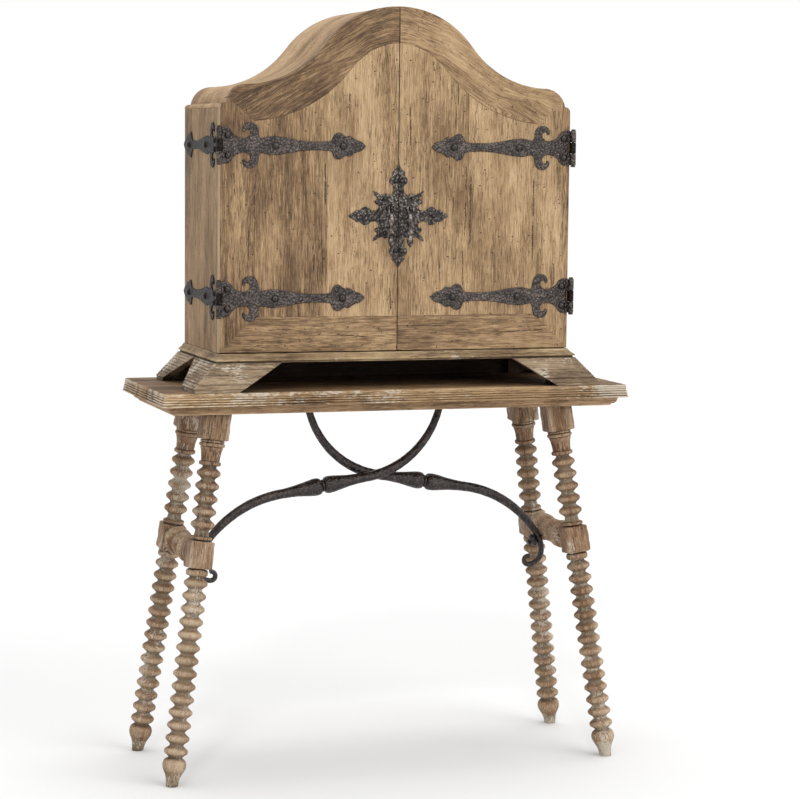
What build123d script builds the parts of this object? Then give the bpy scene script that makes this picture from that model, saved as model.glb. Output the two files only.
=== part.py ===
from build123d import *
import os
from math import atan2, cos, hypot, radians, sin, sqrt

# Vargueno: a camel-backed cabinet with two doors on bracket feet, standing on a table whose four splayed,
# bobbin-turned legs are braced by two wrought irons.  X runs to the right, Y to the back, Z up, in
# millimetres, and the origin is on the floor under the middle of the table top.

# ---- clearances and play ----
seat_gap = 0.3                 # between parts that move past each other, and beside round faces
door_gap = 2.0                 # between the two doors, and under them
carcass_gap = 1.3              # between the backs of the doors and the carcass
bore_play = 0.4                # added to the diameter of what passes through a bore
turning_flats = 8              # round work that repeats is drawn with this many flats

# ---- table top ----
top_length = 1260.0
top_width = 478.0
stand_height = 1005.0
slab_thickness = 34.0
slab_setback = 5.0             # how far the slab's upper edge lies behind its lower lip
slab_rounding = 4.0
slab_lip = 6.0
reed_height = 6.0
reed_depth = 2.5
reed_count = 3
under_thickness = 23.5         # the moulded board under the slab
under_inset = 21.0             # its upper edge, in from the lip
under_cove = 15.0              # how much further in its lower edge lies
under_fillet = 3.0

# ---- legs ----
foot_in_x = 33.0               # where the legs' axes meet the floor, in from the ends of the top
foot_in_y = 37.0
splay_x = 0.1395               # how far the axes lean in for each unit of height
splay_y = 0.0797
toe_radius = 16.0
bulb_radius = 31.0
bulb_height = 50.0
bulb_top = 73.0
disc_radius = 31.0
neck_radius = 18.0
disc_pitch = 32.9
ring_radius = 29.0
ring_width = 20.0
stretcher_drop = 362.0         # from the underside of the moulded board to the stretchers' axes
mid_block_size = 62.0
mid_block_length = 70.0
upper_ring_width = 12.0
upper_neck = 25.5
collar_radius = 34.0
collar_width = 18.0
vase_height = 34.0
vase_top_radius = 29.0
vase_foot_radius = 25.0
vase_neck = 17.0
top_block_size = 69.0
top_block_length = 72.5
block_chamfer = 3.0
leg_tenon_size = 36.0          # square stub tenon on top of each leg
leg_tenon_height = 16.0

# ---- stretchers between each front leg and the leg behind it ----
tenon_diameter = 22.0
tenon_length = 20.0
stretcher_disc_radius = 37.5
stretcher_disc_width = 36.0
stretcher_disc_place = 68.0    # from the middle of the stretcher
stretcher_waist_length = 36.0
stretcher_neck_radius = 21.0
stretcher_ring_radius = 33.0
stretcher_ring_width = 13.0

# ---- wrought irons ----
iron_diameter = 25.0
iron_tail_diameter = 18.0      # drawn thinner from before the bolt to the scroll
iron_spacing = 26.0            # between the two irons where they cross
iron_foot_x = 180.5            # where an iron meets the board, from the middle
iron_foot_lean = 12.8          # degrees from the vertical there
iron_neck_length = 8.0
iron_bend_radius = 241.0
iron_run_slope = 9.2           # degrees below the level, through the knop
iron_sweep_radius = 304.2
iron_sweep_angle = 49.0
iron_tail_angle = 8.0          # end of the sweep that is drawn thinner
iron_turn_radius = 81.0
iron_out_to_stretcher = 28.4   # from the iron's outermost line to the stretcher's axis
scroll_radius = 38.0
scroll_eye_radius = 12.5
knop_place = 130.0             # from the start of the level run
knop_length = 100.0            # of each of the two swellings
knop_radius = 23.5
knop_ring_radius = 15.5
knop_ring_width = 9.0
flange_radius = 24.0
flange_thickness = 6.0
brace_bolt_diameter = 7.0
brace_knob_radius = 17.0
brace_knob_length = 28.0
brace_bolt_grip = 22.0         # how far a bolt reaches into its stretcher

# ---- plinth and bracket feet ----
cabinet_end_in = 159.0         # the cabinet's sides, in from the ends of the table top
door_face_in = 52.4            # the doors' faces, in from the front of the top
back_in = 44.4
foot_height = 72.0
plinth_thickness = 22.5
plinth_top_out = 4.0           # the moulding's upper edge, outside the sides and the doors
plinth_out = 17.5              # its lower edge, outside the sides
plinth_front_out = 20.4        # and in front of the doors
plinth_rebate = 6.0
plinth_rebate_height = 5.0     # the shadow line over the feet
plinth_fillet = 3.0
foot_top_out = 19.5
foot_bottom_out = 76.0
foot_front_top_out = 22.4
foot_front_bottom_out = 44.0
foot_step = 9.0
foot_step_out = 3.0
foot_board = 24.0
front_cut_top = 157.0          # the slanting cut between the front feet, in from the sides
front_cut_bottom = 40.0
side_cut_top = 5.0             # the cut between a front and a back foot, from its middle
side_cut_bottom = 66.0         # and in from the doors' faces and the back
foot_block_size = 38.0
skirt_thickness = 15.0         # the board that closes the back between the feet

# ---- carcass ----
side_thickness = 24.0
side_top_radius = 13.0
bottom_thickness = 20.0
back_thickness = 15.0
back_recess = 3.0
roof_thickness = 22.0
roof_inset = 2.0               # the roof lies this much inside the doors' outline
shelf_thickness = 18.0
shelf_heights = (198.0, 400.0)
shelf_front_gap = 22.0
cleat_size = 16.0
catch_width = 46.0
catch_depth = 14.0
catch_height = 16.0
catch_place = 40.0

# ---- doors ----
door_height = 878.5
door_thickness = 27.0
arch_rise = 202.1              # from the bottom of the coves to the apex
cove_radius = 262.7
cove_in = 64.7                 # middle of a cove, in from the side
shoulder_radius = 58.0
shoulder_in = 71.3
shoulder_drop = 46.9           # from the bottom of the coves to the step beside the shoulder
stile_width = 90.0
bottom_rail_width = 90.0
top_rail_depth = 93.0          # the top rail follows the arch
rail_steps = 5                 # straight pieces in each half of its lower edge
shoulder_mitre = 0.8           # slope of the mitre between top rail and stile
plank_seam = 190.0

# ---- hinges ----
hinge_heights = (137.0, 523.0)
pivot_out = 5.5                # the pins' axes, outside the side faces
pivot_front = 10.0             # and in front of the doors
knuckle_radius = 7.5
knuckle_gap = 0.5
barrel_height = 90.0
middle_knuckle = 30.0
hinge_pin_radius = 3.0
pin_head_radius = 6.5
pin_head_height = 4.0
leaf_thickness = 3.5
leaf_start = 11.0              # first edge of a leaf's plate, from the pin's axis
leaf_end_in = 3.2              # tip of a side leaf, in from the back
web_length = 14.0
web_thickness = 5.0

# Upper half of a strap leaf, from the pin's axis: a fan beside the barrel, a scroll that curls back, the
# swelling strap and its neck.
leaf_fan = ((21, 44.5), (37, 35), (64, 17))
leaf_scroll_hollow = ((75, 17), (83, 28), (76, 39))
leaf_scroll_tip = ((69, 31), (65, 34))
leaf_scroll_back = ((65, 34), (69, 50), (84, 55.5))
leaf_scroll_heel = ((84, 55.5), (101, 44), (105, 18))
leaf_swell = ((142, 23.2), (178, 19.5), (224, 12))
# The barbed spear, from its tip backwards.
spear_barb = ((96, 11.5), (80, 33), (57, 25))
spear_lobe = ((47, 25.5), (38, 21), (14, 13.5), (0, 0))

# ---- escutcheon and drop pulls ----
plate_height = 346.0           # middle of the escutcheon, above the foot of the doors
plate_thickness = 3.5
pull_x = 25.5
pull_pin_rise = 20.0           # above the middle of the escutcheon
pull_pin_out = 22.0            # in front of the doors
pull_pin_radius = 2.0
pull_length = 100.0
lug_thickness = 5.0
lug_radius = 5.0
lug_base = 18.0
lug_play = 0.8
arm_out = 10.0
arm_top = 5.0
arm_join = 19.0
arm_depth = 7.0
pull_shaft_radius = 5.0
pull_swell_radius = 8.5
pull_collar_radius = 10.5
pull_collar_place = 66.0
pull_collar_width = 5.0
pull_bulb_radius = 9.0
pull_tip_radius = 3.0

# One quarter of the escutcheon, from its top spear round a three-lobed corner leaf to its side spear.
plate_top_spear = ((0, 131), (14, 110), (24.7, 88.5))
plate_corner_leaf = (
    (14.4, 70.5),
    (24, 53),
    (36, 57),
    (46, 52),
    (69, 64),
    (55, 44),
    (64, 34),
    (53, 26),
    (68, 13.5),
)
plate_side_spear = ((89, 23.3), (114, 13), (135.5, 0))

# ---- places that follow from the sizes ----
sides = {"left": -1, "right": 1}
ends = {"front": -1, "back": 1}
half_flat = 180 / turning_flats
half_length = top_length / 2
half_depth = top_width / 2
slab_under = stand_height - slab_thickness
under_bottom = slab_under - under_thickness
foot_x = half_length - foot_in_x
foot_y = half_depth - foot_in_y
leg_stretch = sqrt(1 + splay_x**2 + splay_y**2)
stretcher_z = under_bottom - stretcher_drop
stretcher_x = foot_x - splay_x * stretcher_z
feet_top = stand_height + foot_height
plinth_top = feet_top + plinth_thickness
half_width = half_length - cabinet_end_in
door_front = half_depth - door_face_in
cabinet_back = half_depth - back_in
door_back = door_front - door_thickness
carcass_front = door_back - carcass_gap
back_face = cabinet_back - back_recess
back_front = back_face - back_thickness
inner_half = half_width - side_thickness
floor_top = plinth_top + bottom_thickness
door_foot = plinth_top + door_gap
door_apex = door_foot + door_height
door_edge = half_width - seat_gap
step_z = door_apex - arch_rise - shoulder_drop
pivot_x = half_width + pivot_out
pivot_y = -(door_front + pivot_front)
leaf_length = cabinet_back - leaf_end_in - pivot_y
plate_z = door_foot + plate_height
pull_pin_z = plate_z + pull_pin_rise
pull_pin_y = -(door_front + pull_pin_out)
pull_bore = pull_pin_radius + bore_play / 2

os.makedirs("parts", exist_ok=True)


def save(part, name):
    """Label a finished piece and write it."""
    part.label = name
    export_step(part, f"parts/{name}.step")


def moulded_board(side_outline, front_outline, back_outline):
    """A board whose edges are moulded: its long section crossed with its cross section."""
    with BuildPart() as board:
        with BuildSketch(Plane.XZ):
            Polygon(*side_outline, *[(-x, z) for x, z in reversed(side_outline)], align=None)
        extrude(amount=top_width, both=True)
        with BuildSketch(Plane.YZ):
            Polygon(*back_outline, *[(-y, z) for y, z in reversed(front_outline)], align=None)
        extrude(amount=top_length, both=True, mode=Mode.INTERSECT)
    return board.part


# ---------------------------------------------------------------- table top and the board under it
def slab_edge(half):
    """Outline of the slab's edge, from the top down: a rounded band, a row of reeds and a lip."""
    band = half - slab_setback
    reeds_bottom = slab_under + slab_lip
    points = [(band - slab_rounding, stand_height), (band, stand_height - slab_rounding)]
    for reed in range(reed_count, 0, -1):
        high = reeds_bottom + reed * reed_height
        crest = half - slab_setback * reed / (reed_count + 1)
        points += [(crest - reed_depth, high), (crest, high - reed_height / 3)]
        points += [(crest, high - reed_height / 1.5)]
    points += [(half - reed_depth, reeds_bottom), (half, reeds_bottom - slab_lip / 3), (half, slab_under)]
    return points


def under_edge(half):
    """Outline of the edge of the board under the slab: a fillet, a cove and a fillet."""
    upper = half - under_inset
    lower = upper - under_cove
    cove_top = slab_under - under_fillet
    cove_bottom = under_bottom + under_fillet
    hollow = [(0.30, 0.35), (0.75, 0.72)]
    cove = [(upper - under_cove * a, cove_top - (cove_top - cove_bottom) * b) for b, a in hollow]
    return [(upper, slab_under), (upper, cove_top), *cove, (lower, cove_bottom), (lower, under_bottom)]


top_edges = slab_edge(half_length), slab_edge(half_depth), slab_edge(half_depth)
with BuildPart() as table_top:
    add(moulded_board(*top_edges))
save(table_top.part, "table_top")

leg_top_x = foot_x - splay_x * under_bottom
leg_top_y = foot_y - splay_y * under_bottom
under_edges = under_edge(half_length), under_edge(half_depth), under_edge(half_depth)
with BuildPart() as under_board:
    add(moulded_board(*under_edges))
    with BuildSketch(Plane.XY.offset(under_bottom)):
        with GridLocations(2 * leg_top_x, 2 * leg_top_y, 2, 2):
            Rectangle(leg_tenon_size + bore_play, leg_tenon_size + bore_play)
    extrude(amount=leg_tenon_height + seat_gap, mode=Mode.SUBTRACT)
save(under_board.part, "under_board")


def turning(plane, outline):
    """A turned piece drawn with flats: its silhouette, as radius and height, crossed with itself."""
    silhouette = [*outline, *[(-r, s) for r, s in reversed(outline)]]
    reach = 2 * max(r for r, s in outline)
    with BuildPart() as piece:
        for flat in range(turning_flats // 2):
            turn = radians(360 / turning_flats * flat)
            across = plane.x_dir * cos(turn) + plane.y_dir * sin(turn)
            with BuildSketch(Plane(plane.origin, x_dir=across, z_dir=across.cross(plane.z_dir))):
                Polygon(*silhouette, align=None)
            extrude(amount=reach, both=True, mode=Mode.INTERSECT if flat else Mode.ADD)
    return piece.part


# ---------------------------------------------------------------- turned, splayed legs
leg_top = under_bottom * leg_stretch
mid_block_foot = stretcher_z * leg_stretch - mid_block_length / 2
mid_block_top = mid_block_foot + mid_block_length
top_block_foot = leg_top - top_block_length
vase_top = top_block_foot - collar_width
vase_foot = vase_top - vase_height


def discs(start, end):
    """Outline of a row of turned discs that fills a stretch of the leg, as radius and height."""
    count = max(1, round((end - start) / disc_pitch))
    pitch = (end - start) / count
    points = [(neck_radius, start)]
    for disc in range(count):
        points += [(disc_radius, start + (disc + 0.5) * pitch), (neck_radius, start + (disc + 1) * pitch)]
    return points


def ring(foot, top, radius, edge):
    """Outline of a rounded ring."""
    return [(radius - edge, foot), (radius, foot + edge), (radius, top - edge), (radius - edge, top)]


def leg_outline():
    """Outline of the turning from below the floor to above the top, as radius and height."""
    toe = [(toe_radius, -toe_radius), (toe_radius, toe_radius / 4)]
    bulb = [(0.74 * bulb_radius, 0.45 * bulb_height)]
    bulb += [(bulb_radius, 0.86 * bulb_height), (bulb_radius, 1.1 * bulb_height)]
    lower_end = mid_block_foot - ring_width - block_chamfer
    upper_start = mid_block_top + upper_neck
    return [
        *toe,
        *bulb,
        *discs(bulb_top, lower_end),
        *ring(mid_block_foot - ring_width, mid_block_foot - 2, ring_radius, 3),
        (neck_radius, mid_block_foot),
        (neck_radius, mid_block_top),
        *ring(mid_block_top + 2, mid_block_top + upper_ring_width, ring_radius, 3),
        *discs(upper_start, vase_foot - vase_neck),
        *ring(vase_foot - 12, vase_foot - 2, vase_top_radius, 3),
        (vase_foot_radius, vase_foot),
        (vase_top_radius, vase_top),
        *ring(vase_top, top_block_foot, collar_radius, 4),
        (neck_radius, top_block_foot + block_chamfer),
        (neck_radius, leg_top + toe_radius),
    ]


def leg_plane(side, end):
    """Plane on the floor whose normal runs up the leg, with its X along the table."""
    up = (-side * splay_x, -end * splay_y, 1)
    return Plane(origin=(side * foot_x, end * foot_y, 0), x_dir=(1, 0, side * splay_x), z_dir=up)


for side_name, side in sides.items():
    for end_name, end in ends.items():
        base = leg_plane(side, end)
        with BuildPart() as leg:
            add(turning(base, leg_outline()))
            for foot, length, size in (
                (mid_block_foot, mid_block_length, mid_block_size),
                (top_block_foot, top_block_length + toe_radius, top_block_size),
            ):
                with BuildSketch(base.offset(foot)):
                    Rectangle(size, size)
                extrude(amount=length)
            split(bisect_by=Plane.XY)
            split(bisect_by=Plane.XY.offset(under_bottom), keep=Keep.BOTTOM)
            with BuildSketch(Plane.XY.offset(under_bottom)):
                with Locations((side * leg_top_x, end * leg_top_y)):
                    Rectangle(leg_tenon_size, leg_tenon_size)
            extrude(amount=leg_tenon_height)
            with BuildSketch(Plane.XZ):
                with Locations((side * stretcher_x, stretcher_z)):
                    RegularPolygon((tenon_diameter + bore_play) / 2, turning_flats, rotation=half_flat)
            tenon_reach = foot_y - splay_y * stretcher_z - mid_block_size / 2 + tenon_length
            extrude(amount=-end * (tenon_reach + seat_gap), mode=Mode.SUBTRACT)
        save(leg.part, f"leg_{end_name}_{side_name}")


# ---------------------------------------------------------------- wrought irons
def along(angle):
    """Direction of a line that rises by an angle in degrees."""
    return cos(radians(angle)), sin(radians(angle))


def arc_end(start, angle, radius, turn):
    """Where an arc ends that starts in a direction and turns by an angle, left when it is positive."""
    way = 1 if turn > 0 else -1
    centre = (start[0] - way * radius * sin(radians(angle)), start[1] + way * radius * cos(radians(angle)))
    last = radians(angle + turn)
    return centre[0] + way * radius * sin(last), centre[1] - way * radius * cos(last)


foot_angle = iron_foot_lean - 90
foot_way = along(foot_angle)
iron_foot = (-iron_foot_x, under_bottom - flange_thickness / 2)
neck_end = (iron_foot[0] + iron_neck_length * foot_way[0], iron_foot[1] + iron_neck_length * foot_way[1])
run_start = arc_end(neck_end, foot_angle, iron_bend_radius, -iron_run_slope - foot_angle)
sweep_end = arc_end((0, 0), -iron_run_slope, iron_sweep_radius, -iron_sweep_angle)
turn_start_angle = -iron_run_slope - iron_sweep_angle
turn_end = arc_end(sweep_end, turn_start_angle, iron_turn_radius, -90 - turn_start_angle)
run_length = (stretcher_x - iron_out_to_stretcher - run_start[0] - turn_end[0]) / along(iron_run_slope)[0]
run = along(-iron_run_slope)
run_end = (run_start[0] + run_length * run[0], run_start[1] + run_length * run[1])
turn_centre = (run_end[0] + turn_end[0] - iron_turn_radius, run_end[1] + turn_end[1])
bolt_reach = hypot(stretcher_x - turn_centre[0], stretcher_z - turn_centre[1])
bolt_way = ((stretcher_x - turn_centre[0]) / bolt_reach, (stretcher_z - turn_centre[1]) / bolt_reach)
iron_to_axis = bolt_reach - iron_turn_radius
waist_radius = iron_to_axis - iron_tail_diameter / 2 - seat_gap


def knop_outline():
    """Outline of the double knop along the iron, as radius and place: a ring between two swellings."""
    bar = iron_diameter / 2
    ring_half = knop_ring_width / 2
    swell = [
        (knop_ring_radius, ring_half),
        (0.85 * knop_radius, ring_half + 0.04 * knop_length),
        (knop_radius, ring_half + 0.16 * knop_length),
        (knop_radius, ring_half + 0.28 * knop_length),
        (0.7 * knop_radius, ring_half + 0.65 * knop_length),
        (bar, ring_half + knop_length),
    ]
    return [(r, -s) for r, s in reversed(swell)] + swell


def bolt_plane(side):
    """Plane on a stretcher's axis whose normal points along its bolt, towards the middle of the table."""
    return Plane(
        origin=(side * stretcher_x, -side * -iron_spacing / 2, stretcher_z),
        x_dir=(0, 1, 0),
        z_dir=(-side * bolt_way[0], 0, -bolt_way[1]),
    )


def bolt_hole():
    """Section of the hole for a brace bolt."""
    radius = (brace_bolt_diameter + bore_play) / 2
    with BuildSketch() as hole:
        RegularPolygon(radius, turning_flats, major_radius=False, rotation=half_flat)
    return hole.sketch


for side_name, side in sides.items():
    plane = Plane(origin=(0, side * iron_spacing / 2, 0), x_dir=(side, 0, 0), z_dir=(0, -side, 0))
    with BuildPart() as iron:
        with BuildLine(plane) as path:
            neck = Line(iron_foot, neck_end)
            bend = JernArc(neck @ 1, neck % 1, iron_bend_radius, -iron_run_slope - foot_angle)
            level = Line(bend @ 1, bend @ 1 + (bend % 1) * run_length)
            sweep_arc = JernArc(level @ 1, level % 1, iron_sweep_radius, iron_tail_angle - iron_sweep_angle)
        with BuildLine(plane) as tail:
            sweep_rest = JernArc(sweep_arc @ 1, sweep_arc % 1, iron_sweep_radius, -iron_tail_angle)
            turn = JernArc(sweep_rest @ 1, sweep_rest % 1, iron_turn_radius, -90 - turn_start_angle)
            scroll = JernArc(turn @ 1, turn % 1, scroll_radius, -90)
            JernArc(scroll @ 1, scroll % 1, scroll_eye_radius, -180)
        for line, diameter in ((path.line, iron_diameter), (tail.line, iron_tail_diameter)):
            with BuildSketch(Plane(origin=line @ 0, x_dir=(0, 1, 0), z_dir=line % 0)):
                RegularPolygon(diameter / 2, turning_flats, major_radius=False, rotation=half_flat)
            sweep(path=line)
        with BuildSketch(Plane.XY.offset(under_bottom)):
            with Locations((-side * iron_foot_x, side * iron_spacing / 2)):
                RegularPolygon(flange_radius, turning_flats, major_radius=False)
        extrude(amount=-flange_thickness)
        knop_middle = level @ 0 + (level % 0) * knop_place
        add(turning(Plane(origin=knop_middle, x_dir=(0, 1, 0), z_dir=level % 0), knop_outline()))
        with BuildSketch(bolt_plane(side).offset(waist_radius)):
            add(bolt_hole())
        extrude(amount=iron_tail_diameter + 2 * seat_gap, mode=Mode.SUBTRACT)
    save(iron.part, f"iron_{side_name}")


def bolt_outline():
    """Outline of a brace bolt and its turned knob, as radius and distance from the stretcher's axis."""
    shank = brace_bolt_diameter / 2
    seat = iron_to_axis + iron_tail_diameter / 2 + seat_gap
    knob = [(0.34, 0), (0.95, 0.2), (1, 0.35), (0.85, 0.62), (0.4, 0.72), (0.5, 0.85), (0.35, 1)]
    turned = [(brace_knob_radius * r, seat + brace_knob_length * s) for r, s in knob]
    return [(shank, waist_radius - brace_bolt_grip), (shank, seat), *turned]


with BuildPart() as brace_bolts:
    for side in sides.values():
        add(turning(bolt_plane(side), bolt_outline()))
save(brace_bolts.part, "brace_bolts")

# ---------------------------------------------------------------- turned stretchers
block_face_y = foot_y - splay_y * stretcher_z - mid_block_size / 2


def stretcher_outline():
    """Outline of half a stretcher from its middle, as radius and distance along it."""
    disc, wide = stretcher_disc_radius, stretcher_disc_width / 2
    disc_step = disc * 0.83
    ring_foot = stretcher_disc_place + wide + 12
    ring_top = ring_foot + stretcher_ring_width
    shaft = stretcher_neck_radius + 3
    return [
        (waist_radius, 0),
        (waist_radius, stretcher_waist_length / 2),
        (stretcher_neck_radius, stretcher_waist_length / 2 + 6),
        (shaft, stretcher_disc_place - wide),
        (disc_step, stretcher_disc_place - wide + 2),
        (disc, stretcher_disc_place - 0.45 * wide),
        (disc, stretcher_disc_place + 0.45 * wide),
        (disc_step, stretcher_disc_place + wide - 2),
        (shaft, stretcher_disc_place + wide),
        (stretcher_neck_radius, stretcher_disc_place + wide + 7),
        *ring(ring_foot, ring_top, stretcher_ring_radius, 3),
        (shaft, ring_top + 3),
        (shaft, block_face_y + tenon_length),
    ]


for side_name, side in sides.items():
    half = stretcher_outline()
    with BuildPart() as stretcher:
        middle = (side * stretcher_x, 0, stretcher_z)
        axis = Plane(middle, x_dir=(-side * bolt_way[0], 0, -bolt_way[1]), z_dir=(0, 1, 0))
        add(turning(axis, [*[(r, -y) for r, y in reversed(half[1:])], *half]))
        for end in ends.values():
            base = leg_plane(side, end)
            inward = base.y_dir * -end
            split(bisect_by=Plane(base.origin + inward * (mid_block_size / 2), z_dir=inward), keep=Keep.TOP)
        with BuildSketch(Plane.XZ):
            with Locations((side * stretcher_x, stretcher_z)):
                RegularPolygon(tenon_diameter / 2, turning_flats, rotation=half_flat)
        extrude(amount=block_face_y + tenon_length, both=True)
        with BuildSketch(bolt_plane(side).offset(waist_radius - brace_bolt_grip - seat_gap)):
            add(bolt_hole())
        extrude(amount=brace_bolt_grip + 2 * seat_gap, mode=Mode.SUBTRACT)
    save(stretcher.part, f"stretcher_{side_name}")

# ---------------------------------------------------------------- plinth and bracket feet
def plinth_edge(upper, lower):
    """Outline of the plinth's moulded edge, from the top down: a fillet, an ogee and a rebate."""
    ogee = [(0.15, 0.25), (0.45, 0.5), (0.9, 0.75), (1, 0.9)]
    foot = feet_top + plinth_rebate_height
    start = plinth_top - plinth_fillet
    curve = [(upper + (lower - upper) * a, start - (start - foot) * b) for a, b in ogee]
    rebate = lower - plinth_rebate
    return [(upper, plinth_top), (upper, start), *curve, (lower, foot), (rebate, foot), (rebate, feet_top)]


with BuildPart() as plinth:
    add(
        moulded_board(
            plinth_edge(half_width + plinth_top_out, half_width + plinth_out),
            plinth_edge(door_front + plinth_top_out, door_front + plinth_front_out),
            [(cabinet_back, plinth_top), (cabinet_back, feet_top)],
        )
    )
save(plinth.part, "plinth")


def foot_slope(top, bottom, board):
    """Flaring face of a bracket foot, from the top down: top and bottom lie this far out, less the board."""
    step = stand_height + foot_step
    lip = bottom + foot_step_out
    slope = [(top, feet_top), (lip, step), (bottom, step), (bottom, stand_height)]
    return [(out - board, z) for out, z in slope]


def foot_solid(side, end, board):
    """The block that a foot's faces bound, set in by the thickness of its boards."""
    side_slope = foot_slope(half_width + foot_top_out, half_width + foot_bottom_out, board)
    if end < 0:
        end_slope = foot_slope(door_front + foot_front_top_out, door_front + foot_front_bottom_out, board)
    else:
        end_slope = [(cabinet_back - board, feet_top), (cabinet_back - board, stand_height)]
    with BuildPart() as block:
        with BuildSketch(Plane.XZ):
            Polygon((0, feet_top), *side_slope, (0, stand_height), align=None)
            if side < 0:
                mirror(about=Plane.YZ, mode=Mode.REPLACE)
        extrude(amount=top_width, both=True)
        with BuildSketch(Plane.YZ):
            outline = [(0, feet_top), *end_slope, (0, stand_height)]
            Polygon(*[(end * y, z) for y, z in outline], align=None)
        extrude(amount=top_length, both=True, mode=Mode.INTERSECT)
    return block.part


side_middle = (cabinet_back - door_front) / 2
for side_name, side in sides.items():
    for end_name, end in ends.items():
        face = door_front if end < 0 else cabinet_back
        front_cut = [(half_width - front_cut_top, feet_top), (half_width - front_cut_bottom, stand_height)]
        side_cut = [(side_middle + end * side_cut_top, feet_top)]
        side_cut.append((end * (face - side_cut_bottom), stand_height))
        with BuildPart() as bracket_foot:
            add(foot_solid(side, end, 0))
            add(foot_solid(side, end, foot_board), mode=Mode.SUBTRACT)
            with BuildSketch(Plane.XZ):
                outline = [(0, feet_top), *front_cut, (0, stand_height)]
                Polygon(*[(side * x, z) for x, z in outline], align=None)
            extrude(amount=top_width, both=True, mode=Mode.SUBTRACT)
            with BuildSketch(Plane.YZ):
                Polygon(*side_cut, (-end * top_width, stand_height), (-end * top_width, feet_top), align=None)
            extrude(amount=top_length, both=True, mode=Mode.SUBTRACT)
        save(bracket_foot.part, f"bracket_foot_{end_name}_{side_name}")

block_x = half_width + foot_top_out - foot_board - seat_gap - foot_block_size / 2
block_front_y = -(door_front + foot_front_top_out - foot_board - seat_gap - foot_block_size / 2)
block_back_y = cabinet_back - foot_board - seat_gap - foot_block_size / 2
with BuildPart() as foot_blocks:
    with BuildSketch(Plane.XY.offset(stand_height)):
        with Locations(*[(x, y) for x in (-block_x, block_x) for y in (block_front_y, block_back_y)]):
            Rectangle(foot_block_size, foot_block_size)
    extrude(amount=foot_height)
save(foot_blocks.part, "foot_blocks")

skirt_half = block_x - foot_block_size / 2 - seat_gap
skirt_y = cabinet_back - foot_board - seat_gap - skirt_thickness / 2
with BuildPart() as back_skirt:
    with BuildSketch(Plane.XY.offset(stand_height)):
        with Locations((0, skirt_y)):
            Rectangle(2 * skirt_half, skirt_thickness)
    extrude(amount=foot_height)
save(back_skirt.part, "back_skirt")

# ---------------------------------------------------------------- outline of the arch
cove_x = half_width - cove_in
cove_z = door_apex - arch_rise + cove_radius
crown_radius = (cove_x**2 + arch_rise**2) / (2 * arch_rise) - cove_radius
crown_z = door_apex - crown_radius
shoulder_x = half_width - shoulder_in
shoulder_z = cove_z - sqrt((cove_radius + shoulder_radius) ** 2 - (cove_x - shoulder_x) ** 2)
side_top = step_z - side_top_radius


def on_circle(centre, radius, towards):
    """Point of a circle in the direction of another point."""
    reach = hypot(towards[0] - centre[0], towards[1] - centre[1])
    return tuple(c + (t - c) * radius / reach for c, t in zip(centre, towards))


def circle_arc(centre, radius, start, end):
    """Arc of a circle between two of its points, the short way round."""
    middle = ((start[0] + end[0]) / 2, (start[1] + end[1]) / 2)
    return ThreePointArc(start, on_circle(centre, radius, middle), end)


def arch_face(inset, outer, foot, inner=0.0, rounded=True):
    """Right half of the space under the arch, set in, between an inner and an outer edge, down to a foot."""
    crown_centre, crown = (0, crown_z), crown_radius - inset
    cove_centre, cove = (cove_x, cove_z), cove_radius + inset
    shoulder_centre, shoulder = (shoulder_x, shoulder_z), shoulder_radius - inset
    start = (inner, crown_z + sqrt(crown**2 - inner**2))
    crown_end = on_circle(crown_centre, crown, cove_centre)
    cove_end = on_circle(cove_centre, cove, shoulder_centre)
    step = step_z - inset if rounded else side_top
    shoulder_end = (shoulder_x + sqrt(shoulder**2 - (step - shoulder_z) ** 2), step)
    corner = side_top_radius - inset if rounded else 0
    rounding_start, rounding_end = (outer - corner, step), (outer, step - corner)
    with BuildSketch() as face:
        with BuildLine():
            circle_arc(crown_centre, crown, start, crown_end)
            circle_arc(cove_centre, cove, crown_end, cove_end)
            circle_arc(shoulder_centre, shoulder, cove_end, shoulder_end)
            Line(shoulder_end, rounding_start)
            if rounded:
                circle_arc((outer - corner, step - corner), corner, rounding_start, rounding_end)
            Polyline(rounding_end, (outer, foot), (inner, foot), start)
        make_face()
    return face.sketch


# ---------------------------------------------------------------- carcass
with BuildPart() as cabinet_bottom:
    with BuildSketch(Plane.XY.offset(plinth_top)):
        with Locations((0, (cabinet_back - carcass_front) / 2)):
            Rectangle(2 * inner_half, cabinet_back + carcass_front)
    extrude(amount=bottom_thickness)
save(cabinet_bottom.part, "cabinet_bottom")

with BuildPart() as roof:
    with BuildSketch(Plane.XZ.offset(carcass_front)):
        add(arch_face(roof_inset, half_width, floor_top))
        add(arch_face(roof_inset + roof_thickness, inner_half, floor_top, rounded=False), mode=Mode.SUBTRACT)
        mirror(about=Plane.YZ)
    extrude(amount=-carcass_front - cabinet_back)
    split(bisect_by=Plane.XY.offset(side_top), keep=Keep.TOP)
save(roof.part, "roof")

with BuildPart() as back_board:
    with BuildSketch(Plane.XZ.offset(-back_front)):
        add(arch_face(roof_inset + roof_thickness + seat_gap, inner_half, floor_top, rounded=False))
        mirror(about=Plane.YZ)
    extrude(amount=-back_thickness)
save(back_board.part, "back_board")

with BuildPart() as shelf_cleats:
    for height in shelf_heights:
        with BuildSketch(Plane.XY.offset(floor_top + height - cleat_size)):
            with Locations(*[(x, 0) for x in (cleat_size / 2 - inner_half, inner_half - cleat_size / 2)]):
                Rectangle(cleat_size, 2 * (carcass_front - shelf_front_gap))
        extrude(amount=cleat_size)
    split(bisect_by=Plane.XZ.offset(-back_front + seat_gap), keep=Keep.TOP)
save(shelf_cleats.part, "shelf_cleats")

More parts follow.
